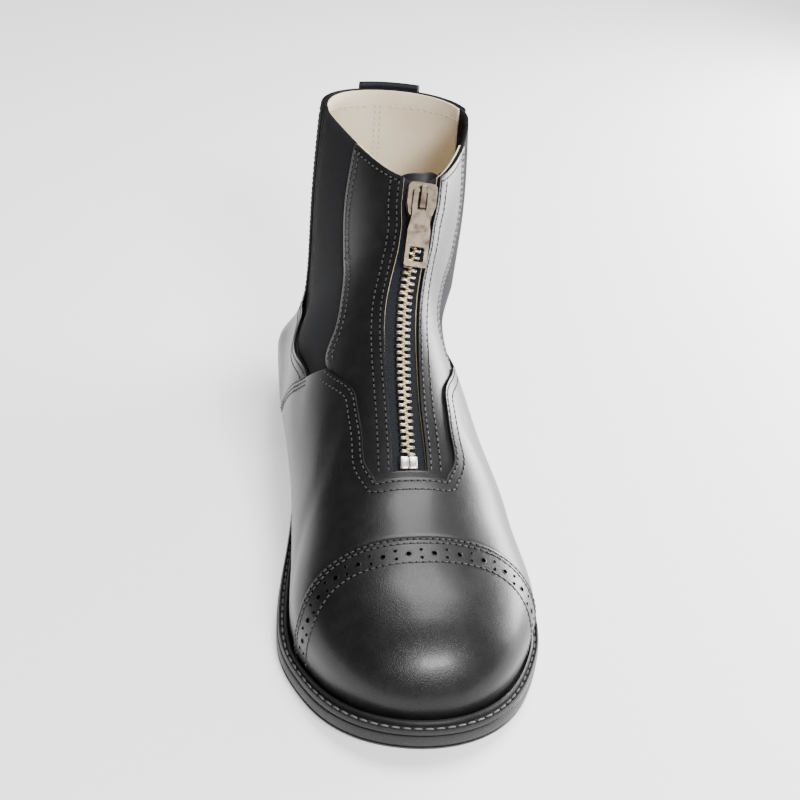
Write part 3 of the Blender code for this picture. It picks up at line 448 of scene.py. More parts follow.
# Cross-sections of the last, from the toe tip to the collar. Each lies in a plane through a point on the top
# line and a foot on the sole line or, once it has passed the heel, on the back seam.
SECTIONS = (
    # name, top, rise, foot, climb, measure, inner, outer, widest, crown, ridge
    ("tip", 0.032, -0.024, 0.032, 0.0, "ball", 0.500, 0.455, 0.36, 2.5, 0.031),
    ("toe box", 0.123, 0.014, 0.123, 0.0, "ball", 0.468, 0.490, 0.34, 2.4, 0.020),
    ("cap", 0.218, 0.070, 0.218, 0.0, "ball", 0.486, 0.533, 0.30, 2.2, 0.020),
    ("vamp", 0.302, 0.136, 0.315, 0.0, "ball", 0.466, 0.522, 0.27, 2.0, 0.022),
    ("throat", 0.354, 0.220, 0.414, 0.0, "ball", 0.449, 0.500, 0.28, 1.9, 0.028),
    ("instep", 0.407, 0.318, 0.526, 0.0, "ball", 0.434, 0.442, 0.31, 1.85, 0.030),
    ("high instep", 0.460, 0.420, 0.646, 0.0, "heel", 0.637, 0.582, 0.35, 1.8, 0.050),
    ("bend", 0.505, 0.523, 0.761, 0.0, "heel", 0.609, 0.505, 0.40, 1.75, 0.062),
    ("ankle", 0.543, 0.621, 0.870, 0.0, "heel", 0.592, 0.480, 0.43, 1.7, 0.086),
    ("heel seat", 0.573, 0.715, 0.945, 0.0, "heel", 0.567, 0.500, 0.45, 1.6, 0.125),
    ("heel back", 0.595, 0.794, 0.986, 0.0, "heel", 0.570, 0.515, 0.45, 1.5, 0.164),
    ("counter", 0.6145, 0.864, 0.986, 0.27, "heel", 0.570, 0.528, 0.44, 1.4, 0.188),
    ("shaft", 0.634, 0.935, 0.986, 0.60, "collar", 0.570, 0.535, 0.42, 1.3, 0.208),
    ("collar", 0.6525, 1.000, 0.986, 1.0, "collar", 0.535, 0.515, 0.38, 1.22, 0.223),
)

# The back seam at each climb: how far it stands in from the heel's furthest point, and the round of the back.
BACK_LINE = (
    # climb, set in, round
    (0.0, 0.006, 0.125),
    (0.13, 0.000, 0.125),
    (0.27, 0.004, 0.125),
    (0.60, 0.016, 0.125),
    (1.0, 0.009, 0.122),
)

# Edges of the panels, as shares up each section. Below the gore's foot, "front" is the vamp's top edge.
PANELS = (
    # section, back, front
    (0.0, 0.55, 0.960),
    (3.0, 0.55, 0.962),
    (3.5, 0.56, 0.960),
    (3.9, 0.57, 0.938),
    (4.6, 0.58, 0.930),
    (5.3, 0.59, 0.920),
    (5.9, 0.61, 0.888),
    (6.4, 0.64, 0.790),
    (7.3, 0.50, 0.815),
    (8.3, 0.37, 0.838),
    (10.2, 0.27, 0.790),
    (11.6, 0.27, 0.735),
    (13.0, 0.30, 0.705),
)
CAP_EDGE = 2.15  # section at which the toe cap ends on top
CAP_SWEEP = 0.50  # how many sections further forward it ends at the sole
VAMP_EDGE = 3.42  # section at the foot of the vamp's opening
ZIP_FOOT = 3.62
GORE_FOOT = 6.4
GORE_INSET = 0.006  # gore's edges inside those of its opening, as a share up the section
GORE_DEPTH = 0.0005  # its face below the leather's
SEAM = 0.02  # sections between the edges of neighbouring pieces
TOE_ROWS = (0.0, 0.25, 0.5, 0.75, 1.0, 1.3, 1.6, 1.88)
ROWS = (
    TOE_ROWS
    + (CAP_EDGE, CAP_EDGE + SEAM, 2.45, 2.8, 3.15, VAMP_EDGE, ZIP_FOOT, 4.1, 4.55, 5.0, 5.45, 5.9, 6.2)
    + (GORE_FOOT, GORE_FOOT + SEAM, 6.8, 7.3, 7.8, 8.4, 9.0, 9.6, 10.0, 10.6, 11.2, 11.8, 12.4, 13.0)
)


# %% The last as a function
def spline(knots, values):
    """A natural cubic through the values, as a function that takes arrays."""
    x = np.asarray(knots, float)
    y = np.asarray(values, float)
    n = len(x)
    step = np.diff(x)
    slope = np.diff(y) / step
    system = np.eye(n)
    right = np.zeros(n)
    for i in range(1, n - 1):
        system[i, i - 1 : i + 2] = step[i - 1], 2 * (step[i - 1] + step[i]), step[i]
        right[i] = 6 * (slope[i] - slope[i - 1])
    bend = np.linalg.solve(system, right)

    def at(where):
        where = np.asarray(where, float)
        i = np.clip(np.searchsorted(x, where) - 1, 0, n - 2)
        a = where - x[i]
        b = x[i + 1] - where
        h = step[i]
        return (
            (bend[i] * b**3 + bend[i + 1] * a**3) / (6 * h)
            + (y[i] / h - bend[i] * h / 6) * b
            + (y[i + 1] / h - bend[i + 1] * h / 6) * a
        )

    return at


def smoothstep(q):
    q = np.clip(q, 0.0, 1.0)
    return q * q * (3 - 2 * q)


def end_round(q, power=2.2):
    """Closes a width round at its end: 0 at q = 0, 1 from q = 1 on."""
    return np.sqrt(1 - (1 - np.clip(q, 0.0, 1.0)) ** power)


def sole_underside(y):
    """Height of the outsole's underside: toe spring, flat tread, rising shank, level heel seat."""
    q = np.asarray(y, float) / LENGTH
    spring = TOE_SPRING * np.clip(1 - q / 0.205, 0.0, 1.0) ** 2
    return spring + HEEL_HEIGHT * smoothstep((q - 0.36) / 0.40)


def seat_height(y):
    """Where the upper stands on the outsole."""
    return sole_underside(y) + SOLE_THICKNESS + GAP


_stations = [row[1] for row in FEATHER]
_inner = spline(_stations, [row[2] for row in FEATHER])
_outer = spline(_stations, [row[3] for row in FEATHER])
_centre = spline(_stations, [row[4] for row in FEATHER])
HEEL_END = LENGTH - HEEL_FLANGE
TOE_END = TOE_FLANGE


def width_followed(y):
    """The ball's width in the forepart, the heel's width behind the arch."""
    k = smoothstep((np.asarray(y, float) / LENGTH - 0.30) / 0.50)
    return BALL_WIDTH * (1 - k) + HEEL_WIDTH * k


def feather_base(y, side):
    share = (_inner if side < 0 else _outer)(np.asarray(y, float) / LENGTH)
    return share * width_followed(y)


def centre_line(y):
    """The sole's middle line: straight in the forepart, swung to the inner side at the heel."""
    return _centre(np.asarray(y, float) / LENGTH) * width_followed(y)


def toe_closing(y):
    return end_round((np.asarray(y, float) - TOE_END) / (TOE_ROUND * LENGTH))


_climbs = [row[0] for row in BACK_LINE]
_set_in = spline(_climbs, [row[1] for row in BACK_LINE])
_back_round = spline(_climbs, [row[2] for row in BACK_LINE])


def climb_of(z):
    low = seat_height(HEEL_END)
    return (np.asarray(z, float) - low) / (BACK_HEIGHT - low)


def back_line(climb):
    """Station of the back seam."""
    return HEEL_END - _set_in(np.clip(climb, 0.0, 1.0)) * LENGTH


def back_closing(y, z):
    c = np.clip(climb_of(z), 0.0, 1.0)
    return end_round((back_line(c) - y) / (_back_round(c) * LENGTH))


_rows = np.arange(len(SECTIONS))
_sizes = {"ball": BALL_WIDTH, "heel": HEEL_WIDTH, "collar": COLLAR_WIDTH}
_top_y = spline(_rows, [r[1] * LENGTH for r in SECTIONS])
_top_z = spline(_rows, [TOE_HEIGHT + r[2] * (FRONT_HEIGHT - TOE_HEIGHT) for r in SECTIONS])
_wide = {
    -1: spline(_rows, [r[6] * _sizes[r[5]] for r in SECTIONS]),
    1: spline(_rows, [r[7] * _sizes[r[5]] for r in SECTIONS]),
}
_widest = spline(_rows, [r[8] for r in SECTIONS])
_crown = spline(_rows, [r[9] for r in SECTIONS])
_ridge = spline(_rows, [r[10] * _sizes[r[5]] for r in SECTIONS])
HEEL_ROW = [r[0] for r in SECTIONS].index("heel back")
LAST_ROW = len(SECTIONS) - 1
_feet = [r[3] * LENGTH for r in SECTIONS[: HEEL_ROW + 1]]
_feet[-1] = float(back_line(0.0))
_foot = spline(_rows[: HEEL_ROW + 1], _feet)
_climb = spline(_rows[HEEL_ROW:], [r[4] for r in SECTIONS[HEEL_ROW:]])
TUCK = 0.30  # share of a section over which the sole line widens to its fullest


def section_ends(s):
    """Top point and foot of the section at s, each (y, z), and the foot's place across."""
    s = np.asarray(s, float)
    # The toe's sections bunch up towards the tip, so that its round has enough of them.
    near = TOE_END + (_top_y(1.0) - TOE_END) * (1 - np.cos(np.clip(s, 0, 1) * math.pi / 2))
    ty = np.where(s < 1, near, _top_y(s))
    climb = np.where(s > HEEL_ROW, _climb(np.maximum(s, HEEL_ROW)), 0.0)
    foot_y = np.where(s < 1, near, _foot(np.minimum(s, HEEL_ROW)))
    foot_y = np.where(s > HEEL_ROW, back_line(climb), foot_y)
    low = seat_height(HEEL_END)
    foot_z = np.where(s > HEEL_ROW, low + climb * (BACK_HEIGHT - low), seat_height(foot_y))
    foot_x = centre_line(foot_y)
    rise = end_round((ty - TOE_END) / (0.155 * LENGTH), 2.6)
    tz = foot_z + (_top_z(s) - foot_z) * np.where(s < 3, rise, 1.0)
    return ty, tz, foot_y, foot_z, foot_x


def counter_bulge(y, z):
    """The heel's sides swell above the sole and draw in again below the ankle."""
    up = np.maximum(z - seat_height(y), 0.0) / (0.12 * HEEL_WIDTH)
    return COUNTER_BULGE * up**2 * np.exp(1 - up**2) * smoothstep((y / LENGTH - 0.50) / 0.25)


def shaft_lean(y, z):
    """Above the stiffened heel, the back of the shaft leans to the outer side."""
    up = (z - seat_height(HEEL_END)) / HEEL_WIDTH
    return SHAFT_LEAN * smoothstep((up - 0.02) / 0.55) * smoothstep((y / LENGTH - 0.62) / 0.30)


def last_point(s, h, side):
    """A point of the last's surface: section s, share h up from its foot, inner side -1 or outer side 1."""
    s, h = np.broadcast_arrays(np.asarray(s, float), np.asarray(h, float))
    ty, tz, by, bz, bx = section_ends(s)
    y = by + (ty - by) * h
    lift = 4 * h * (1 - h) * smoothstep((s - LAST_ROW + 1.5) / 1.5)
    z = bz + (tz - bz) * h + RIM_LIFT * lift
    closing = np.where(s < 4, toe_closing(y), 1.0) * back_closing(y, z)
    full = _wide[side](s)
    base = feather_base(by, side)
    blend = smoothstep(s - HEEL_ROW)
    base = base * (1 - blend) + full * blend
    wide = base + (full - base) * (1 - (1 - np.clip(h / TUCK, 0, 1)) ** 2.2) + counter_bulge(y, z)
    q = np.clip((h - _widest(s)) / (1 - _widest(s)), 0, 1)
    over = np.clip(1 - q ** _crown(s), 0, 1) ** 0.5
    shift = _ridge(s) * h + bx * (1 - h) + shaft_lean(y, z)
    return np.stack([shift + side * wide * over * closing, y, z], -1)


_marks = [row[0] for row in PANELS]
_back_edge = spline(_marks, [row[1] for row in PANELS])
_front_edge = spline(_marks, [row[2] for row in PANELS])


def zip_edge(s):
    """Share up a section at which the surface is half the zip's opening away from the ridge."""
    wide = np.minimum(_wide[-1](s), _wide[1](s))
    half = (ZIP_OPENING + (SLIDER_OPENING - ZIP_OPENING) * smoothstep((s - LAST_ROW + 2.2) / 1.2)) / 2
    q = (1 - (half / wide) ** 2) ** (1 / _crown(s))
    return _widest(s) + q * (1 - _widest(s))


def swept(s, h):
    """Rows near the toe cap's edge bend forward towards the sole."""
    near = math.exp(-(((s - CAP_EDGE) / 1.0) ** 2)) * float(smoothstep(s / CAP_EDGE))
    return s - CAP_SWEEP * near * smoothstep((1 - h) / 0.6)


def sole_line(y, side):
    """Where the upper meets the sole, seen from above."""
    wide = feather_base(y, side) * toe_closing(y) * back_closing(y, seat_height(y))
    return centre_line(y) + side * wide


def flange(y):
    """How far the outsole stands out at a station."""
    q = np.asarray(y, float) / LENGTH
    front = TOE_FLANGE + (BALL_FLANGE - TOE_FLANGE) * smoothstep(q / 0.16)
    return front + (HEEL_FLANGE - front) * smoothstep((q - 0.35) / 0.40)


def sole_edge(stations, out):
    """The sole line moved outwards: the outer side's points from front to back, then the inner side's.

    The distance out is a function of the station, or one row of values for each side, the outer first.
    """
    sides = []
    for row, side in enumerate((1, -1)):
        line = np.stack([sole_line(stations, side), stations], -1)
        along = np.gradient(line, axis=0)
        for end in (0, -1):
            if abs(line[end, 0] - centre_line(line[end, 1])) < 1e-6:
                along[end] = (side * (1 if end == 0 else -1), 0.0)
        along /= np.linalg.norm(along, axis=1, keepdims=True)
        away = np.stack([along[:, 1], -along[:, 0]], -1) * side
        reach = out(stations) if callable(out) else out[row]
        sides.append(line + away * np.asarray(reach, float).reshape(-1, 1))
    return np.concatenate([sides[0], sides[1][::-1]])


ORIGIN = (0.0031153, 0.1418175)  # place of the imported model's origin in the last's own frame
SHIFT = np.array([-ORIGIN[0], -ORIGIN[1], 0.0])

# %% [markdown]
# The last is sampled on one fine grid that every sheet of leather shares, so that panels which meet do so
# exactly. Wear shapes the leather too: soft troughs cross the ankle where it bends, and the leather sinks a
# little between the counter and the shaft. They are pressed into the shared grid, and so into every sheet at
# once.

# %% The fine grid and its creases
FINE_COLUMNS = (16, 14, 12, 2)  # steps from the sole to the back edge, the front edge, the zip and the ridge
FINE_SIDE = sum(FINE_COLUMNS)
FINE_RING = 2 * FINE_SIDE + 1
ROW_STEPS = 4
fine_sections = []
for first, second in zip(ROWS, ROWS[1:]):
    steps = 1 if second - first < 2 * SEAM else ROW_STEPS
    fine_sections += [first + (second - first) * k / steps for k in range(steps)]
fine_sections.append(float(ROWS[-1]))

CREASES = (
    # side, section, share up, how far it runs in sections, slant, half width in metres, depth in metres
    (-1, 6.9, 0.66, 1.1, 0.10, 0.0050, 0.00075),
    (-1, 7.8, 0.60, 1.3, 0.06, 0.0060, -0.00050),
    (-1, 8.9, 0.63, 1.5, 0.02, 0.0070, 0.00080),
    (1, 6.7, 0.70, 1.0, 0.12, 0.0050, 0.00070),
    (1, 8.2, 0.66, 1.4, 0.05, 0.0065, 0.00070),
    (1, 5.0, 0.80, 0.8, 0.10, 0.0060, 0.00040),
    (-1, 4.9, 0.80, 0.9, 0.10, 0.0060, 0.00045),
    (-1, 3.0, 0.45, 0.9, 0.22, 0.0070, 0.00040),
    (1, 3.1, 0.42, 0.9, 0.22, 0.0070, 0.00040),
)


def crease_depth(s, h, side):
    """How deep the worn leather sinks at a place, from the table of creases."""
    sunk = np.zeros(np.broadcast(s, h).shape)
    for at_side, at_s, at_h, run, slant, width, depth in CREASES:
        if at_side == side:
            off = (h - at_h - slant * (s - at_s)) * 0.10
            sunk = sunk + depth * np.exp(-((off / width) ** 2) - ((s - at_s) / run) ** 2)
    return sunk


def fine_shares(s):
    back, front, slot = float(_back_edge(s)), float(_front_edge(s)), float(zip_edge(s))
    low, middle, high, top = FINE_COLUMNS
    ease_in = [back * (1 - math.cos(math.pi / 2 * i / low)) for i in range(low)]
    ease_out = [back + (front - back) * math.sin(math.pi / 2 * i / middle) for i in range(middle)]
    panel = [front + (slot - front) * math.sin(math.pi / 2 * i / high) for i in range(high)]
    return np.array(ease_in + ease_out + panel + [slot + (1 - slot) * i / top for i in range(top + 1)])


def outward(grid):
    """Outward directions of a grid of points, by rows and columns."""
    away = np.cross(np.gradient(grid, axis=1), np.gradient(grid, axis=0))
    size = np.linalg.norm(away, axis=-1, keepdims=True)
    return np.divide(away, size, out=np.zeros_like(away), where=size > 1e-12)


def fine_row(s):
    h = fine_shares(s)
    inner = last_point(swept(s, h), h, -1)
    outer = last_point(swept(s, h), h, 1)
    return np.concatenate([inner, outer[-2::-1]])


LAST = np.array([fine_row(s) for s in fine_sections])
heel_at = next(i for i, s in enumerate(fine_sections) if s >= HEEL_ROW)


def lift_lower_edge(grid):
    """Fits the lower edge to the sole, as the solids' grid is fitted."""
    for foot, step, side in ((0, 1, -1), (FINE_RING - 1, -1, 1)):
        base = grid[: heel_at + 1, foot].copy()
        up = grid[: heel_at + 1, foot + 8 * step] - base
        away = side * np.cross(np.gradient(base, axis=0), up)
        away[0] = (0.0, -1.0, 0.0)
        seam = grid[heel_at + 3, foot] - base[heel_at]
        away[heel_at] = (0.0, seam[2], -seam[1])
        away /= np.linalg.norm(away, axis=1, keepdims=True)
        lift = np.zeros(len(grid))
        for reach in (GAP + CAP_THICKNESS, -WALL):
            edge = base + away * reach
            short = seat_height(edge[:, 1]) - edge[:, 2] + GAP / 2
            lift[: heel_at + 1] = np.maximum(lift[: heel_at + 1], short)
        half = slice(0, FINE_SIDE) if side < 0 else slice(FINE_SIDE, FINE_RING)
        above = grid[:, half, 2] - seat_height(grid[:, half, 1])
        grid[:, half, 2] += lift[:, None] * np.clip(1 - above / SKIRT, 0, 1)
    grid[0] = grid[0, 0]
    return grid


LAST = lift_lower_edge(LAST) + SHIFT
NORMALS = outward(LAST)
NORMALS[0] = (0.0, -1.0, 0.0)
# The seam's two columns are one line, so they share their direction.
seam_mean = NORMALS[heel_at + 1 :, 0] + NORMALS[heel_at + 1 :, -1]
seam_mean /= np.linalg.norm(seam_mean, axis=-1, keepdims=True)
NORMALS[heel_at + 1 :, 0] = NORMALS[heel_at + 1 :, -1] = seam_mean
for i, s in enumerate(fine_sections):
    h = fine_shares(s)
    sunk = np.concatenate([crease_depth(s, h, -1), crease_depth(s, h, 1)[-2::-1]])
    LAST[i] -= NORMALS[i] * sunk[:, None]
print("last sampled on", LAST.shape[0], "x", LAST.shape[1], "points")


# %% Sheets of leather on the last
def column_of(j):
    return min(j, FINE_RING - 2 - j)


def runs_of(line):
    """Lengths along a line of points, from its first one."""
    return np.concatenate([[0.0], np.cumsum(np.linalg.norm(np.diff(line, axis=0), axis=1))])


def grid_mesh(name, points, keep=None):
    """A mesh of a grid of points, whose cells keep(row, column) takes, with a map in metres."""
    rows, columns = points.shape[:2]
    work = bmesh.new()
    bmesh.ops.create_grid(work, x_segments=columns - 1, y_segments=rows - 1, size=1.0)
    chart = work.loops.layers.uv.new("UVMap")
    place = {}
    for vert in work.verts:
        j = round((vert.co.x + 1) / 2 * (columns - 1))
        i = round((vert.co.y + 1) / 2 * (rows - 1))
        place[vert] = (i, j)
        vert.co = points[i, j]
    run_across, run_along = runs_of(points[rows // 2]), runs_of(points[:, columns // 2])
    for face in work.faces:
        for loop in face.loops:
            i, j = place[loop.vert]
            loop[chart].uv = (run_across[j], run_along[i])
    if keep:
        spare = [f for f in work.faces if not keep(*(min(place[v][k] for v in f.verts) for k in (0, 1)))]
        bmesh.ops.delete(work, geom=spare, context="FACES")
    bmesh.ops.remove_doubles(work, verts=work.verts, dist=1e-6)
    bmesh.ops.dissolve_degenerate(work, edges=work.edges, dist=1e-6)
    return mesh_of(name, work)


CUT_EDGE = 0.0003  # round on the leather's cut edges


def thicken(made, thickness, edge=CUT_EDGE):
    """Gives a sheet its thickness, inwards, and rounds its cut edges."""
    wall = made.modifiers.new("wall", "SOLIDIFY")
    wall.thickness = thickness
    wall.offset = -1.0
    if edge:
        round_edge = made.modifiers.new("edge", "BEVEL")
        round_edge.width = edge
        round_edge.segments = 2
        round_edge.limit_method = "ANGLE"
        round_edge.angle_limit = math.radians(60)
    return made


def row_at(s):
    return min(range(len(fine_sections)), key=lambda i: abs(fine_sections[i] - s))


BACK_AT, FRONT_AT = FINE_COLUMNS[0], FINE_COLUMNS[0] + FINE_COLUMNS[1]
ZIP_AT = FINE_SIDE - FINE_COLUMNS[3]
CAP_AT, CAP_SEAM_AT = row_at(CAP_EDGE), row_at(CAP_EDGE + SEAM)
VAMP_AT, ZIP_FOOT_AT = row_at(VAMP_EDGE), row_at(ZIP_FOOT)
GORE_AT, GORE_SEAM_AT = row_at(GORE_FOOT), row_at(GORE_FOOT + SEAM)


def sheet_on_last(name, keep, out, thickness, look, edge=CUT_EDGE):
    mesh = grid_mesh(name, LAST + NORMALS * out, lambda i, j: keep(i, column_of(j)))
    made = thicken(place_in_scene(name, mesh, look), thickness, edge)
    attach(made, "boot")
    return made


def in_upper(i, c):
    gore = i >= GORE_SEAM_AT and BACK_AT <= c < FRONT_AT
    return not gore and not (i >= ZIP_FOOT_AT and c >= ZIP_AT)


LEATHER = 0.0019  # the outer layer of the upper's wall
shaft_leather = sheet_on_last("upper_leather", in_upper, 0.0, LEATHER, upper_leather)
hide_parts("upper")
shaft_lining = sheet_on_last("upper_lining", in_upper, -LEATHER, WALL - LEATHER, lining_leather)

toe_cap = sheet_on_last(
    "cap", lambda i, c: i < CAP_AT, GAP + CAP_THICKNESS, CAP_THICKNESS, toe_leather, 0.0005
)
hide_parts("toe_cap")
vamp = sheet_on_last(
    "vamp_leather",
    lambda i, c: CAP_SEAM_AT <= i < GORE_AT and (i < VAMP_AT or c < FRONT_AT),
    GAP + VAMP_THICKNESS, VAMP_THICKNESS, toe_leather, 0.0004,
)
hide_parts("vamp")
back_panel = sheet_on_last(
    "back_leather", lambda i, c: i >= GORE_SEAM_AT and c < BACK_AT,
    GAP + VAMP_THICKNESS, VAMP_THICKNESS, toe_leather, 0.0004,
)
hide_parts("back_panel")

# %% The elastic sides
GORE_COLUMNS = 25
gore_sections = [s for s in fine_sections if s >= GORE_FOOT + SEAM]
gore_sections[0] += SEAM
for side, name in ((-1, "gore_inner"), (1, "gore_outer")):
    grid = []
    for s in gore_sections:
        h = np.linspace(float(_back_edge(s)) + GORE_INSET, float(_front_edge(s)) - GORE_INSET, GORE_COLUMNS)
        grid.append(last_point(s, h, side))
    grid = np.array(grid)[:, ::1 if side < 0 else -1] + SHIFT
    mesh = grid_mesh(name + "_cloth", grid - outward(grid) * GORE_DEPTH)
    gore = thicken(place_in_scene(name + "_cloth", mesh, elastic), GORE_THICKNESS, 0.0)
    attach(gore, "boot")
    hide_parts(name)

# %% [markdown]
# The sole is drawn as one line on the ground: where the upper meets it, moved outwards by the flange. A
# circle of points is bent onto that line and extruded upwards, ring by ring, which gives the chamfers and the
# side's thin rib. The welt is the strip that is stitched to it, with a bead against the leather and a sunk
# groove for the thread.


# %% The sole's stations
SOLE_BACK = float(back_line(climb_of(seat_height(HEEL_END))))
# They lie close together at both round ends.
SOLE_STATIONS = TOE_END + (SOLE_BACK - TOE_END) * (1 - np.cos(np.linspace(0, math.pi, 121))) / 2


def ring_on(stations, out, height):
    edge = sole_edge(stations, out)
    return np.column_stack([edge, height(edge[:, 1])]) + SHIFT


def clean_ring(ring):
    """Drops the doubled points where the two sides meet, at the toe and at the heel."""
    count = len(ring) // 2
    return np.concatenate([ring[:count], ring[count + 1 : -1]])


def ring_solid(name, rings, look, closed_loop=False):
    """A solid through rings: capped at its first and last ring, or closed on itself."""
    count = len(rings[0])
    work = bmesh.new()
    start = bmesh.ops.create_circle(work, segments=count, radius=1.0)["verts"]
    start.sort(key=lambda v: math.atan2(v.co.y, v.co.x) % (2 * math.pi))
    for vert, point in zip(start, rings[0]):
        vert.co = point
    first_edges = edges = list({e for vert in start for e in vert.link_edges})
    current = start
    for ring in rings[1:]:
        grown = bmesh.ops.extrude_edge_only(work, edges=edges)["geom"]
        fresh = {g for g in grown if isinstance(g, bmesh.types.BMVert)}
        edges = [g for g in grown if isinstance(g, bmesh.types.BMEdge) and fresh.issuperset(g.verts)]
        upper_of = {e.other_vert(v): v for v in fresh for e in v.link_edges if e.other_vert(v) not in fresh}
        current = [upper_of[v] for v in current]
        for vert, point in zip(current, ring):
            vert.co = point
    if closed_loop:
        bmesh.ops.bridge_loops(work, edges=first_edges + edges)
    else:
        bmesh.ops.contextual_create(work, geom=first_edges)
        bmesh.ops.contextual_create(work, geom=edges)
    bmesh.ops.recalc_face_normals(work, faces=work.faces)
    mesh = mesh_of(name, work)
    made = place_in_scene(name, mesh, look)
    mesh.set_sharp_from_angle(angle=math.radians(40))
    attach(made, "boot")
    return made


def outsole_ring(inset, up):
    return clean_ring(ring_on(SOLE_STATIONS, lambda y: flange(y) - inset, lambda y: sole_underside(y) + up))


# Each ring's inset and height: the lower round, the thin line round the side, the side and the upper round.
OUTSOLE_RINGS = (
    (0.0022, 0.0), (0.0006, 0.0002), (0.0001, 0.0008), (0.0, 0.0016), (0.0004, 0.0018), (0.0004, 0.0023),
    (0.0, 0.0026), (0.0, SOLE_THICKNESS - 0.0012),
    (0.0003, SOLE_THICKNESS - 0.0004), (0.0009, SOLE_THICKNESS),
)
outsole = ring_solid("outsole_rubber", [outsole_ring(*ring) for ring in OUTSOLE_RINGS], rubber)
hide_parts("outsole")

# %% The heel
heel_front = LENGTH - HEEL_BREAST
heel_stations = heel_front + (SOLE_STATIONS[-1] - heel_front) * np.sin(np.linspace(0, math.pi / 2, 60))


def heel_ring(height, inset=0.0):
    draw_in = HEEL_TAPER * (1 - float(np.mean(height(heel_stations))) / HEEL_HEIGHT)
    edge = sole_edge(heel_stations, lambda y: flange(y) - SOLE_CHAMFER - draw_in - inset)
    ring = np.column_stack([edge, height(edge[:, 1])]) + SHIFT
    count = len(ring) // 2
    return np.concatenate([ring[:count], ring[count + 1 :]])


def level(z):
    return lambda y: 0.0 * y + z


block = ring_solid("heel_leather", [
    heel_ring(level(TOP_PIECE + GAP)),
    heel_ring(level(TOP_PIECE + GAP + 0.0003)),
    heel_ring(lambda y: sole_underside(y) - GAP - 0.0004),
    heel_ring(lambda y: sole_underside(y) - GAP, 0.0003),
], heel_stack)
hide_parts("heel_block")
top_piece = ring_solid("heel_rubber", [
    heel_ring(level(0.0), 0.0008),
    heel_ring(level(0.0006)),
    heel_ring(level(TOP_PIECE - 0.0003)),
    heel_ring(level(TOP_PIECE), 0.0004),
], rubber)
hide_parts("heel_top_piece")

# %% The welt
CAP_FOOT = float(section_ends(swept(CAP_EDGE + SEAM, 0.0))[2])


def flare(height):
    """How far the last stands out from the sole line, up to each height, for the outer and the inner side."""
    found = []
    foot = sole_edge(SOLE_STATIONS, lambda y: 0.0 * y)
    count = len(SOLE_STATIONS)
    for foot_line, side in ((foot[:count], 1), (foot[count:][::-1], -1)):
        s = np.linspace(0.0, HEEL_ROW + 2.0, 600)[:, None]
        cloud = last_point(s, np.linspace(0.0, 0.3, 61), side).reshape(-1, 3)
        above = cloud[:, 2] - seat_height(cloud[:, 1])
        along = np.gradient(foot_line, axis=0)
        along[0] = (side, 0.0)
        along[-1] = (-side, 0.0)
        along /= np.linalg.norm(along, axis=1, keepdims=True)
        reach = []
        for place, way, top in zip(foot_line, along, height):
            away = np.array([way[1], -way[0]]) * side
            offset = cloud[:, :2] - place
            near = np.linalg.norm(offset, axis=1) < 0.02
            beside = near & (np.abs(offset @ way) < 0.002) & (above < top + 0.0004)
            reach.append(max(0.0, float((offset[beside] @ away).max(initial=0.0))))
        found.append(reach)
    return np.array(found)


bead = WELT_BEAD - (WELT_BEAD - WELT_BASE) * smoothstep((SOLE_STATIONS / LENGTH - 0.45) / 0.20)
under_cap = smoothstep((CAP_FOOT + 0.006 - SOLE_STATIONS) / 0.006)
leather_there = VAMP_THICKNESS + (CAP_THICKNESS - VAMP_THICKNESS) * under_cap
reach = flare(bead + 2 * GAP)
for _ in range(6):
    reach[:, 1:-1] = (reach[:, :-2] + 2 * reach[:, 1:-1] + reach[:, 2:]) / 4
welt_inner = leather_there + 2.5 * GAP + reach
welt_outer = np.tile(flange(SOLE_STATIONS) - SOLE_CHAMFER / 2, (2, 1))
wide = welt_outer - welt_inner
swell = np.minimum(0.0030, wide * 0.45)
rim = np.minimum(0.0012, wide * 0.28)
groove = (welt_inner + swell + welt_outer - rim) / 2


def welt_ring(out, up):
    ring = sole_edge(SOLE_STATIONS, out)
    up = np.broadcast_to(up, SOLE_STATIONS.shape)
    base = sole_underside(ring[:, 1]) + SOLE_THICKNESS + GAP
    return clean_ring(np.column_stack([ring, base + np.concatenate([up, up[::-1]])]) + SHIFT)


# The bead's round, as shares of its width and height
BEAD_ROUND = ((0.0, 0.0), (0.0, 0.7), (0.15, 0.92), (0.42, 1.0), (0.72, 0.93), (0.92, 0.72))
welt = ring_solid("welt_strip", [welt_ring(welt_inner + swell * out, bead * up) for out, up in BEAD_ROUND] + [
    welt_ring(welt_inner + swell, WELT_BASE * 0.85),
    welt_ring(groove, WELT_BASE * 0.70),
    welt_ring(welt_outer - rim, WELT_BASE * 0.95),
    welt_ring(welt_outer - rim * 0.8, WELT_BASE + WELT_RIM),
    welt_ring(welt_outer - rim * 0.3, WELT_BASE + WELT_RIM),
    welt_ring(welt_outer, WELT_BASE * 0.9),
    welt_ring(welt_outer, 0.0),
], rubber, closed_loop=True)
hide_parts("welt")

# %% [markdown]
# The zip. Its woven tape lies under the slot, and two rows of small metal teeth mesh along the ridge: each
# tooth is a short bar that reaches from its own side just past the middle, where the next one from the other
# side grips it.

# %% The zip's tape
def ridge_frame(s):
    """A point of the ridge with its directions: along the ridge upwards, away from the foot, and across."""
    step = 0.02
    place = last_point(s, 1.0, 1)
    along = last_point(s + step, 1.0, 1) - last_point(s - step, 1.0, 1)
    along /= np.linalg.norm(along)
    away = np.cross((1.0, 0.0, 0.0), along)
    away /= np.linalg.norm(away)
    return place, along, away, np.cross(along, away)


def ridge_length_table():
    """Sections against the length along the ridge, from the foot of the zip to the collar."""
    sections = np.linspace(ZIP_FOOT, LAST_ROW, 300)
    points = last_point(sections, 1.0, 1)
    return sections, runs_of(points)


ZIP_SECTIONS, ZIP_LENGTHS = ridge_length_table()
ZIP_LENGTH = float(ZIP_LENGTHS[-1])


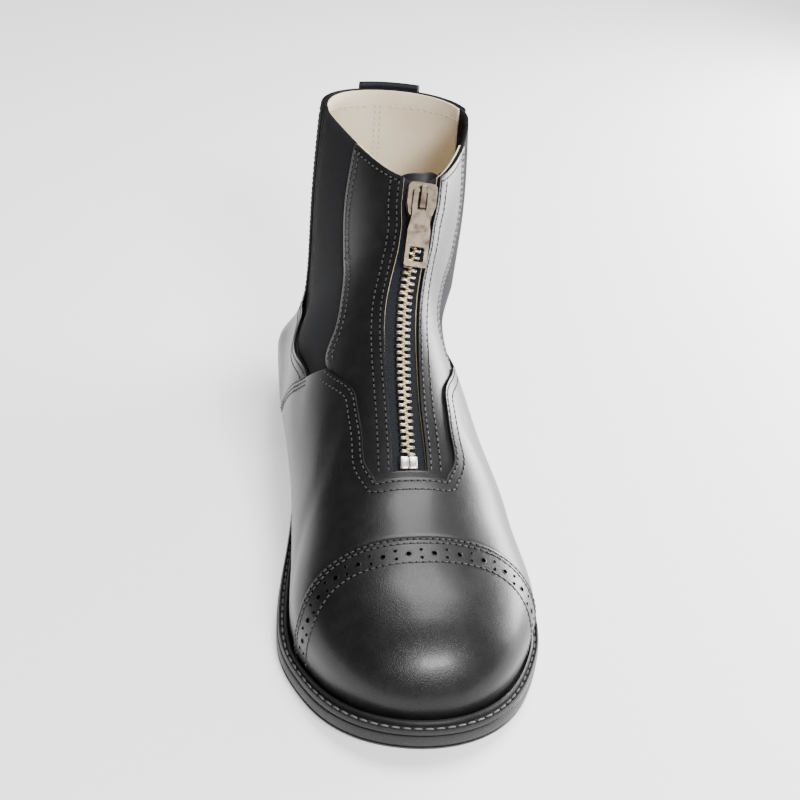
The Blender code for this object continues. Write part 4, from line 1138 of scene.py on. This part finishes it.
def section_at(length):
    return float(np.interp(length, ZIP_LENGTHS, ZIP_SECTIONS))


def beside_ridge(s, reach):
    """A point of the last at section s, at a distance from the ridge, positive to the outer side."""
    side = 1 if reach > 0 else -1
    q = (1 - (reach / _wide[side](s)) ** 2) ** (1 / _crown(s))
    return last_point(s, _widest(s) + q * (1 - _widest(s)), side)


def guard_grid(rows, reaches):
    """Points of the last under the tab behind the zip's top, whose upper edge is an arch."""
    tops = LAST_ROW + GUARD_RISE * (1 - (reaches / reaches[-1]) ** 2)
    grid = []
    for share in np.linspace(0, 1, rows):
        sections = GUARD_FOOT + (tops - GUARD_FOOT) * share
        grid.append([beside_ridge(s, reach) for s, reach in zip(sections, reaches)])
    return np.array(grid)


tape_out = -(WALL + 2 * GAP)
STRIP_COLUMNS = np.linspace(-1, 1, 21)
tape_reaches = STRIP_COLUMNS * TAPE_REACH
tape_sections = [s for s in fine_sections if s >= VAMP_EDGE]
tape_points = np.array([[beside_ridge(s, reach) for reach in tape_reaches] for s in tape_sections]) + SHIFT
tape_mesh = grid_mesh("tape_cloth", tape_points + outward(tape_points) * tape_out)
tape = thicken(place_in_scene("tape_cloth", tape_mesh, woven_tape), TAPE_THICKNESS, 0.0)
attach(tape, "boot")
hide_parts("zip_tape")

guard_out = tape_out - TAPE_THICKNESS - 2 * GAP
guard_points = guard_grid(24, STRIP_COLUMNS * GUARD_REACH) + SHIFT
guard_mesh = grid_mesh("guard_leather", guard_points + outward(guard_points) * guard_out)
guard = thicken(place_in_scene("guard_leather", guard_mesh, upper_leather), GUARD_THICKNESS)
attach(guard, "boot")
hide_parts("zip_guard")


# %% Small pieces, many times
def many(name, template, places, looks, body="boot"):
    """One joined mesh of a small template, set at every place."""
    work = bmesh.new()
    for place in places:
        old = len(work.verts)
        work.from_mesh(template)
        work.verts.ensure_lookup_table()
        bmesh.ops.transform(work, matrix=place, verts=work.verts[old:])
    made = place_in_scene(name, mesh_of(name, work), *(looks if isinstance(looks, tuple) else (looks,)))
    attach(made, body)
    print(name, len(places), "small pieces")
    return made


def small_block(size, centre, edge, segments=2):
    """A template: a block with rounded edges."""
    work = bmesh.new()
    bmesh.ops.create_cube(work, size=1.0)
    bmesh.ops.scale(work, vec=size, verts=work.verts)
    bmesh.ops.translate(work, vec=centre, verts=work.verts)
    bmesh.ops.bevel(
        work, geom=work.edges[:], offset=edge, offset_type="OFFSET", segments=segments, profile=0.5,
        affect="EDGES", material=-1,
    )
    return mesh_of("template", work)


def axes_matrix(place, x_axis, y_axis, z_axis):
    turned = Matrix((Vector(x_axis), Vector(y_axis), Vector(z_axis))).transposed().to_4x4()
    return Matrix.Translation(Vector(place)) @ turned


def on_ridge(length, up):
    place, y_axis, z_axis, x_axis = ridge_frame(section_at(length))
    return axes_matrix(place + SHIFT + z_axis * up, x_axis, y_axis, z_axis)


# %% The zip's teeth
PITCH_ONE_SIDE = 0.0029  # from one tooth to the next on the same side
TOOTH_BAR = 0.00165  # a tooth's length along the zip
PAST_MIDDLE = 0.0006  # how far a tooth reaches over the middle
NIB_SIZE = (0.0017, 0.0009, 0.0024)
tooth_start = STOP_PLACE + STOP_LENGTH + 0.0010
tooth_end = ZIP_LENGTH - SLIDER_LENGTH * 0.62
tooth_up = tape_out + GAP + 0.0011
half_tooth = TOOTH_WIDTH * 0.44
tooth_size = (half_tooth + PAST_MIDDLE, TOOTH_BAR, 0.0021)
tooth_places = {-1: [], 1: []}
steps = int((tooth_end - tooth_start) / (PITCH_ONE_SIDE / 2))
for k in range(steps):
    tooth_places[-1 if k % 2 else 1].append(on_ridge(tooth_start + k * PITCH_ONE_SIDE / 2, tooth_up))
for side, name in ((-1, "teeth_inner"), (1, "teeth_outer")):
    tooth = small_block(tooth_size, (side * (half_tooth - PAST_MIDDLE) / 2, 0, 0), 0.0005)
    many(name, tooth, tooth_places[side], nickel)
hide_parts("zip_teeth")
nib = small_block(NIB_SIZE, (0, 0, 0), 0.0003)
nib_places = [on_ridge(tooth_start + (k + 0.5) * PITCH_ONE_SIDE / 2, tooth_up) for k in range(steps)]
many("teeth_nibs", nib, nib_places, tooth_brass)
stop_half = small_block((TOOTH_WIDTH * 0.53, STOP_LENGTH, TOOTH_HEIGHT * 1.05), (0, 0, 0), 0.0006, 3)
stop_up = tape_out + GAP * 1.5 + TOOTH_HEIGHT * 0.55
stop_place = on_ridge(STOP_LENGTH / 2 + STOP_PLACE, stop_up)
stop_places = [stop_place @ Matrix.Translation((x * TOOTH_WIDTH * 0.262, 0, 0)) for x in (-1, 1)]
bottom_stop = many("bottom_stop", stop_half, stop_places, bright_nickel)
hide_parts("zip_bottom_stop")
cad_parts["zip_slider"].material_slots[0].material = antique_brass
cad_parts["zip_pull"].material_slots[0].material = antique_brass
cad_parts["insole"].material_slots[0].material = lining_leather

# %% [markdown]
# The pull loop is a woven strap folded over at the back of the collar and sewn down.

# %% The pull loop
def back_strip(s, across):
    """Points of the back at section s, at places across from its seam, with their outward directions."""
    h = np.linspace(0.0, 0.35, 160) ** 2
    inner = last_point(s, h[::-1], -1)
    outer = last_point(s, h[1:], 1)
    line = np.concatenate([inner, outer])
    seam = line[len(inner) - 1, 0]
    points = np.stack([np.interp(seam + across, line[:, 0], line[:, k]) for k in range(3)], -1)
    along = np.gradient(points[:, :2], axis=0)
    away = np.stack([-along[:, 1], along[:, 0], 0 * along[:, 0]], -1)
    return points, away / np.linalg.norm(away, axis=1, keepdims=True)


across_strap = np.linspace(-0.5, 0.5, 17) * LOOP_WIDTH + LOOP_ASIDE
strap_under = VAMP_THICKNESS + 2.5 * GAP + STRAP_THICKNESS / 2
fold = STRAP_THICKNESS / 2 + GAP
seam_sections = np.linspace(HEEL_ROW, LAST_ROW, 60)
seam_heights = last_point(seam_sections, 0.0, 1)[:, 2]
# Each step of the strap: its height over the collar's back and its distance out.
strap_path = [(-LOOP_LENGTH * (1 - k / 12), strap_under) for k in range(13)]
strap_top = LOOP_STAND - fold - STRAP_THICKNESS / 2
for k in range(11):
    turn = math.pi * k / 10
    strap_path.append((strap_top + fold * math.sin(turn), strap_under + fold * (1 - math.cos(turn))))
strap_path += [(-LOOP_LENGTH * 0.93 * (k + 1) / 12, strap_under + 2 * fold) for k in range(12)]
strap_grid = []
for below, out in strap_path:
    section = np.interp(min(BACK_HEIGHT + below, BACK_HEIGHT), seam_heights, seam_sections)
    points, away = back_strip(section, across_strap)
    line = points + away * out
    line[:, 2] += max(0.0, below)
    strap_grid.append(line[::-1])
strap_grid = np.array(strap_grid) + SHIFT
strap_grid = strap_grid + outward(strap_grid) * STRAP_THICKNESS / 2
strap_mesh = grid_mesh("loop_strap", strap_grid)
pull_loop = thicken(place_in_scene("loop_strap", strap_mesh, woven_tape), STRAP_THICKNESS)
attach(pull_loop, "boot")
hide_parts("pull_loop")

# %% [markdown]
# Stitches hold it all together, and in the photograph they draw the boot: double rows along every edge. Each
# row is a path on the last, moved sideways by so many millimetres and laid on the leather that is really
# there, found by its nearest point. Every stitch is a short spindle of thread, sunk at both ends.


# %% Finding the leather's surface
def skin(*objects):
    """A search tree of finished surfaces."""
    bpy.context.view_layer.update()
    graph = bpy.context.evaluated_depsgraph_get()
    work = bmesh.new()
    for made in objects:
        shape = made.evaluated_get(graph).to_mesh()
        work.from_mesh(shape)
        made.evaluated_get(graph).to_mesh_clear()
    tree = BVHTree.FromBMesh(work)
    work.free()
    return tree


leather_skin = skin(shaft_leather, toe_cap, vamp, back_panel)
toe_skin = skin(toe_cap, vamp)
shaft_skin = skin(shaft_leather)
lining_skin = skin(shaft_lining)


def on_last(s, h, side, out=0.003):
    """Points over the last with their outward ways, so far out that the nearest leather is its outer face."""
    small = 1e-3
    s, h = np.broadcast_arrays(np.asarray(s, float), np.clip(h, 0.004, 0.996))
    up = last_point(s, h + small, side) - last_point(s, h - small, side)
    along = last_point(s + small, h, side) - last_point(s - small, h, side)
    away = -side * np.cross(up, along)
    away /= np.maximum(np.linalg.norm(away, axis=-1, keepdims=True), 1e-12)
    return np.stack([last_point(s, h, side) + away * out + SHIFT, away], -2)


def even_path(points, pitch):
    """Points along a line at an even pitch, with directions."""
    runs = runs_of(points)
    count = max(2, int(runs[-1] / pitch))
    where = (np.arange(count) + 0.5) * runs[-1] / count
    before, at, after = (
        np.stack([np.interp(where + step, runs, points[:, k]) for k in range(3)], -1)
        for step in (-pitch / 2, 0.0, pitch / 2)
    )
    return at, after - before


def aside(line, shift):
    """A line moved sideways over the last, to the left of its run seen from outside."""
    points, away = line[:, 0], line[:, 1]
    left = np.cross(away, np.gradient(points, axis=0))
    return points + shift * left / np.maximum(np.linalg.norm(left, axis=1, keepdims=True), 1e-12)


def stitch_template(length, radius):
    work = bmesh.new()
    bmesh.ops.create_uvsphere(work, u_segments=6, v_segments=5, radius=1.0)
    bmesh.ops.rotate(work, cent=(0, 0, 0), matrix=Matrix.Rotation(math.pi / 2, 3, "X"), verts=work.verts)
    bmesh.ops.scale(work, vec=(radius, length / 2, radius), verts=work.verts)
    return mesh_of("stitch", work)


STITCH_PITCH = 0.0026
REACH = 0.0046  # how far from a line its leather may lie
STITCH_LIFT, HOLE_LIFT = 0.00006, 0.00004  # how far a stitch's middle and a hole's foot stand off the leather
NEEDLE_RADIUS = 0.00040
LINING_PITCH = 0.0030
WELT_PITCH, WELT_STITCH, WELT_THREAD_RADIUS = 0.0042, 0.0035, 0.00055
leather_stitch = stitch_template(STITCH_PITCH * 0.72, 0.00034)
stitch_places = []


def laid_flat(spot, normal, way, up):
    """A place on the leather: y along the way, z off the surface, so far up."""
    y_axis = Vector(way)
    y_axis = (y_axis - normal * y_axis.dot(normal)).normalized()
    return axes_matrix(spot + normal * up, y_axis.cross(normal), y_axis, normal)


def stitch_row(line, tree, shifts, pitch=STITCH_PITCH, places=stitch_places):
    for shift in shifts:
        at, ways = even_path(aside(line, shift), pitch)
        for point, way in zip(at, ways):
            spot, normal, _, gap = tree.find_nearest(Vector(point))
            if gap < REACH:
                places.append(laid_flat(spot, normal, way, STITCH_LIFT))


# %% Rows of stitches
cap_h = np.linspace(0.02, 1.0, 90)
cap_line = np.concatenate([
    on_last(swept(CAP_EDGE, cap_h), cap_h, -1), on_last(swept(CAP_EDGE, cap_h[::-1]), cap_h[::-1], 1)[1:],
])
stitch_row(cap_line, toe_skin, (-0.0013, -0.0032))
stitch_row(cap_line[8:-8], toe_skin, (-0.0121,))

edge_sections = np.linspace(GORE_FOOT, VAMP_EDGE, 70)
inner_edge = on_last(edge_sections, _front_edge(edge_sections), -1)
outer_edge = on_last(edge_sections[::-1], _front_edge(edge_sections[::-1]), 1)
foot_h = np.linspace(float(_front_edge(VAMP_EDGE)), 0.995, 12)
foot_lines = on_last(VAMP_EDGE, foot_h, -1)[1:], on_last(VAMP_EDGE, foot_h[::-1], 1)[1:-1]
vamp_line = np.concatenate([inner_edge, *foot_lines, outer_edge])
stitch_row(vamp_line, toe_skin, (-0.0013, -0.0050))

zip_sections = np.linspace(ZIP_FOOT, LAST_ROW - 0.15, 120)
panel_sections = np.linspace(GORE_FOOT + 0.1, LAST_ROW - 0.1, 110)
for side in (-1, 1):
    zip_line = on_last(zip_sections, zip_edge(zip_sections), side)
    stitch_row(zip_line, shaft_skin, (-side * 0.0016, -side * 0.0060))

    front_line = on_last(panel_sections, _front_edge(panel_sections), side)
    stitch_row(front_line, shaft_skin, (side * 0.0018, side * 0.0048))
    rear_line = on_last(panel_sections, _back_edge(panel_sections), side)
    stitch_row(rear_line, leather_skin, (-side * 0.0018, -side * 0.0048))

    collar_h = np.linspace(float(_front_edge(LAST_ROW)) + 0.01, float(zip_edge(LAST_ROW)) - 0.01, 40)
    stitch_row(on_last(LAST_ROW, collar_h, side), shaft_skin, (side * 0.0025,))
    rear_h = np.linspace(0.012, float(_back_edge(LAST_ROW)) - 0.01, 40)
    stitch_row(on_last(LAST_ROW, rear_h, side), leather_skin, (side * 0.0025,))

    join_h = np.linspace(0.06, float(_back_edge(GORE_FOOT)), 50)
    stitch_row(on_last(GORE_FOOT, join_h, side), leather_skin, (side * 0.0016, side * 0.0036))

many("stitches", leather_stitch, stitch_places, black_thread)
# After each stitch a flat near-black disc lies on the leather: painted shade for its needle hole.
needle_hole = bmesh.new()
bmesh.ops.create_circle(needle_hole, cap_ends=True, segments=8, radius=NEEDLE_RADIUS)
hole_shift = Matrix.Translation((0, STITCH_PITCH / 2, -0.00002))
many(
    "needle_hole_shade", mesh_of("needle_hole", needle_hole), [place @ hole_shift for place in stitch_places],
    painted_hole_shade,
)

# %% The lining's seams
lining_places = []
LINING_BAND = 12.86  # section of the row under the collar's edge
band_h = np.linspace(0.0, float(_front_edge(LINING_BAND)), 60)
for side in (-1, 1):
    band_line = on_last(LINING_BAND, band_h, side, -0.006)
    stitch_row(band_line, lining_skin, (0.0,), LINING_PITCH, lining_places)
seam_line = last_point(np.linspace(10.6, 12.9, 60), 0.0, 1) + SHIFT
seam_line[:, 1] -= WALL + 0.003
seam_line = np.stack([seam_line, np.broadcast_to((0.0, -1.0, 0.0), seam_line.shape)], -2)
stitch_row(seam_line, lining_skin, (-0.0012, 0.0012), LINING_PITCH, lining_places)
lining_thread = thread_look("lining_thread", (0.62, 0.53, 0.42))
many("lining_stitches", leather_stitch, lining_places, lining_thread)

# %% The welt's stitches
ring = sole_edge(SOLE_STATIONS, groove)
groove_height = sole_underside(ring[:, 1]) + SOLE_THICKNESS + GAP + WELT_BASE * 0.72
welt_line = np.column_stack([ring, groove_height]) + SHIFT
welt_line = np.concatenate([clean_ring(welt_line), welt_line[:1]])
at, ways = even_path(welt_line, WELT_PITCH)
welt_stitch = stitch_template(WELT_STITCH, WELT_THREAD_RADIUS)
welt_places = []
for point, way in zip(at, ways):
    y_axis = Vector(way).normalized()
    x_axis = y_axis.cross(Vector((0, 0, 1))).normalized()
    place = Vector(point) + Vector((0, 0, 0.0002))
    welt_places.append(axes_matrix(place, x_axis, y_axis, x_axis.cross(y_axis)))
many("welt_stitches", welt_stitch, welt_places, welt_thread)

# %% [markdown]
# Broguing: the cap's band is punched with a large hole, then a pair of small ones, and so on. Each hole is a
# near-black disc without shine, a little sunk in a rolled lip of leather: it stands for the black leather
# under the cap and for painted shade inside the hole.


# %% The punched holes
def punch(radius):
    """A template: a rolled lip of leather round a near-black disc, the hole's painted shade."""
    work = bmesh.new()
    bmesh.ops.create_circle(work, cap_ends=True, segments=16, radius=radius * 1.35)
    middle = work.faces[:]
    bmesh.ops.inset_individual(work, faces=middle, thickness=radius * 0.18, depth=0.00012)
    bmesh.ops.inset_individual(work, faces=middle, thickness=radius * 0.17, depth=-0.00008)
    for face in middle:
        face.material_index = 1
    return mesh_of("punch", work)


HOLE_PITCH = 0.0101  # from one large hole to the next
LARGE_RADIUS, SMALL_RADIUS = 0.00098, 0.00060
BAND_LARGE, BAND_UP, BAND_DOWN = -0.0080, -0.0062, -0.0099  # places of the holes behind the cap's edge


def hole_places(shift, offset):
    at, ways = even_path(aside(cap_line[4:-4], shift), HOLE_PITCH / 2)
    places = []
    for point, way in zip(at[offset::2], ways[offset::2]):
        spot, normal, _, _ = toe_skin.find_nearest(Vector(point))
        places.append(laid_flat(spot, normal, way, HOLE_LIFT))
    return places


hole_looks = (toe_leather, painted_hole_shade)
large_holes = hole_places(BAND_LARGE, 0)
small_holes = hole_places(BAND_UP, 1) + hole_places(BAND_DOWN, 1)
many("brogue_large", punch(LARGE_RADIUS), large_holes, hole_looks)
many("brogue_small", punch(SMALL_RADIUS), small_holes, hole_looks)
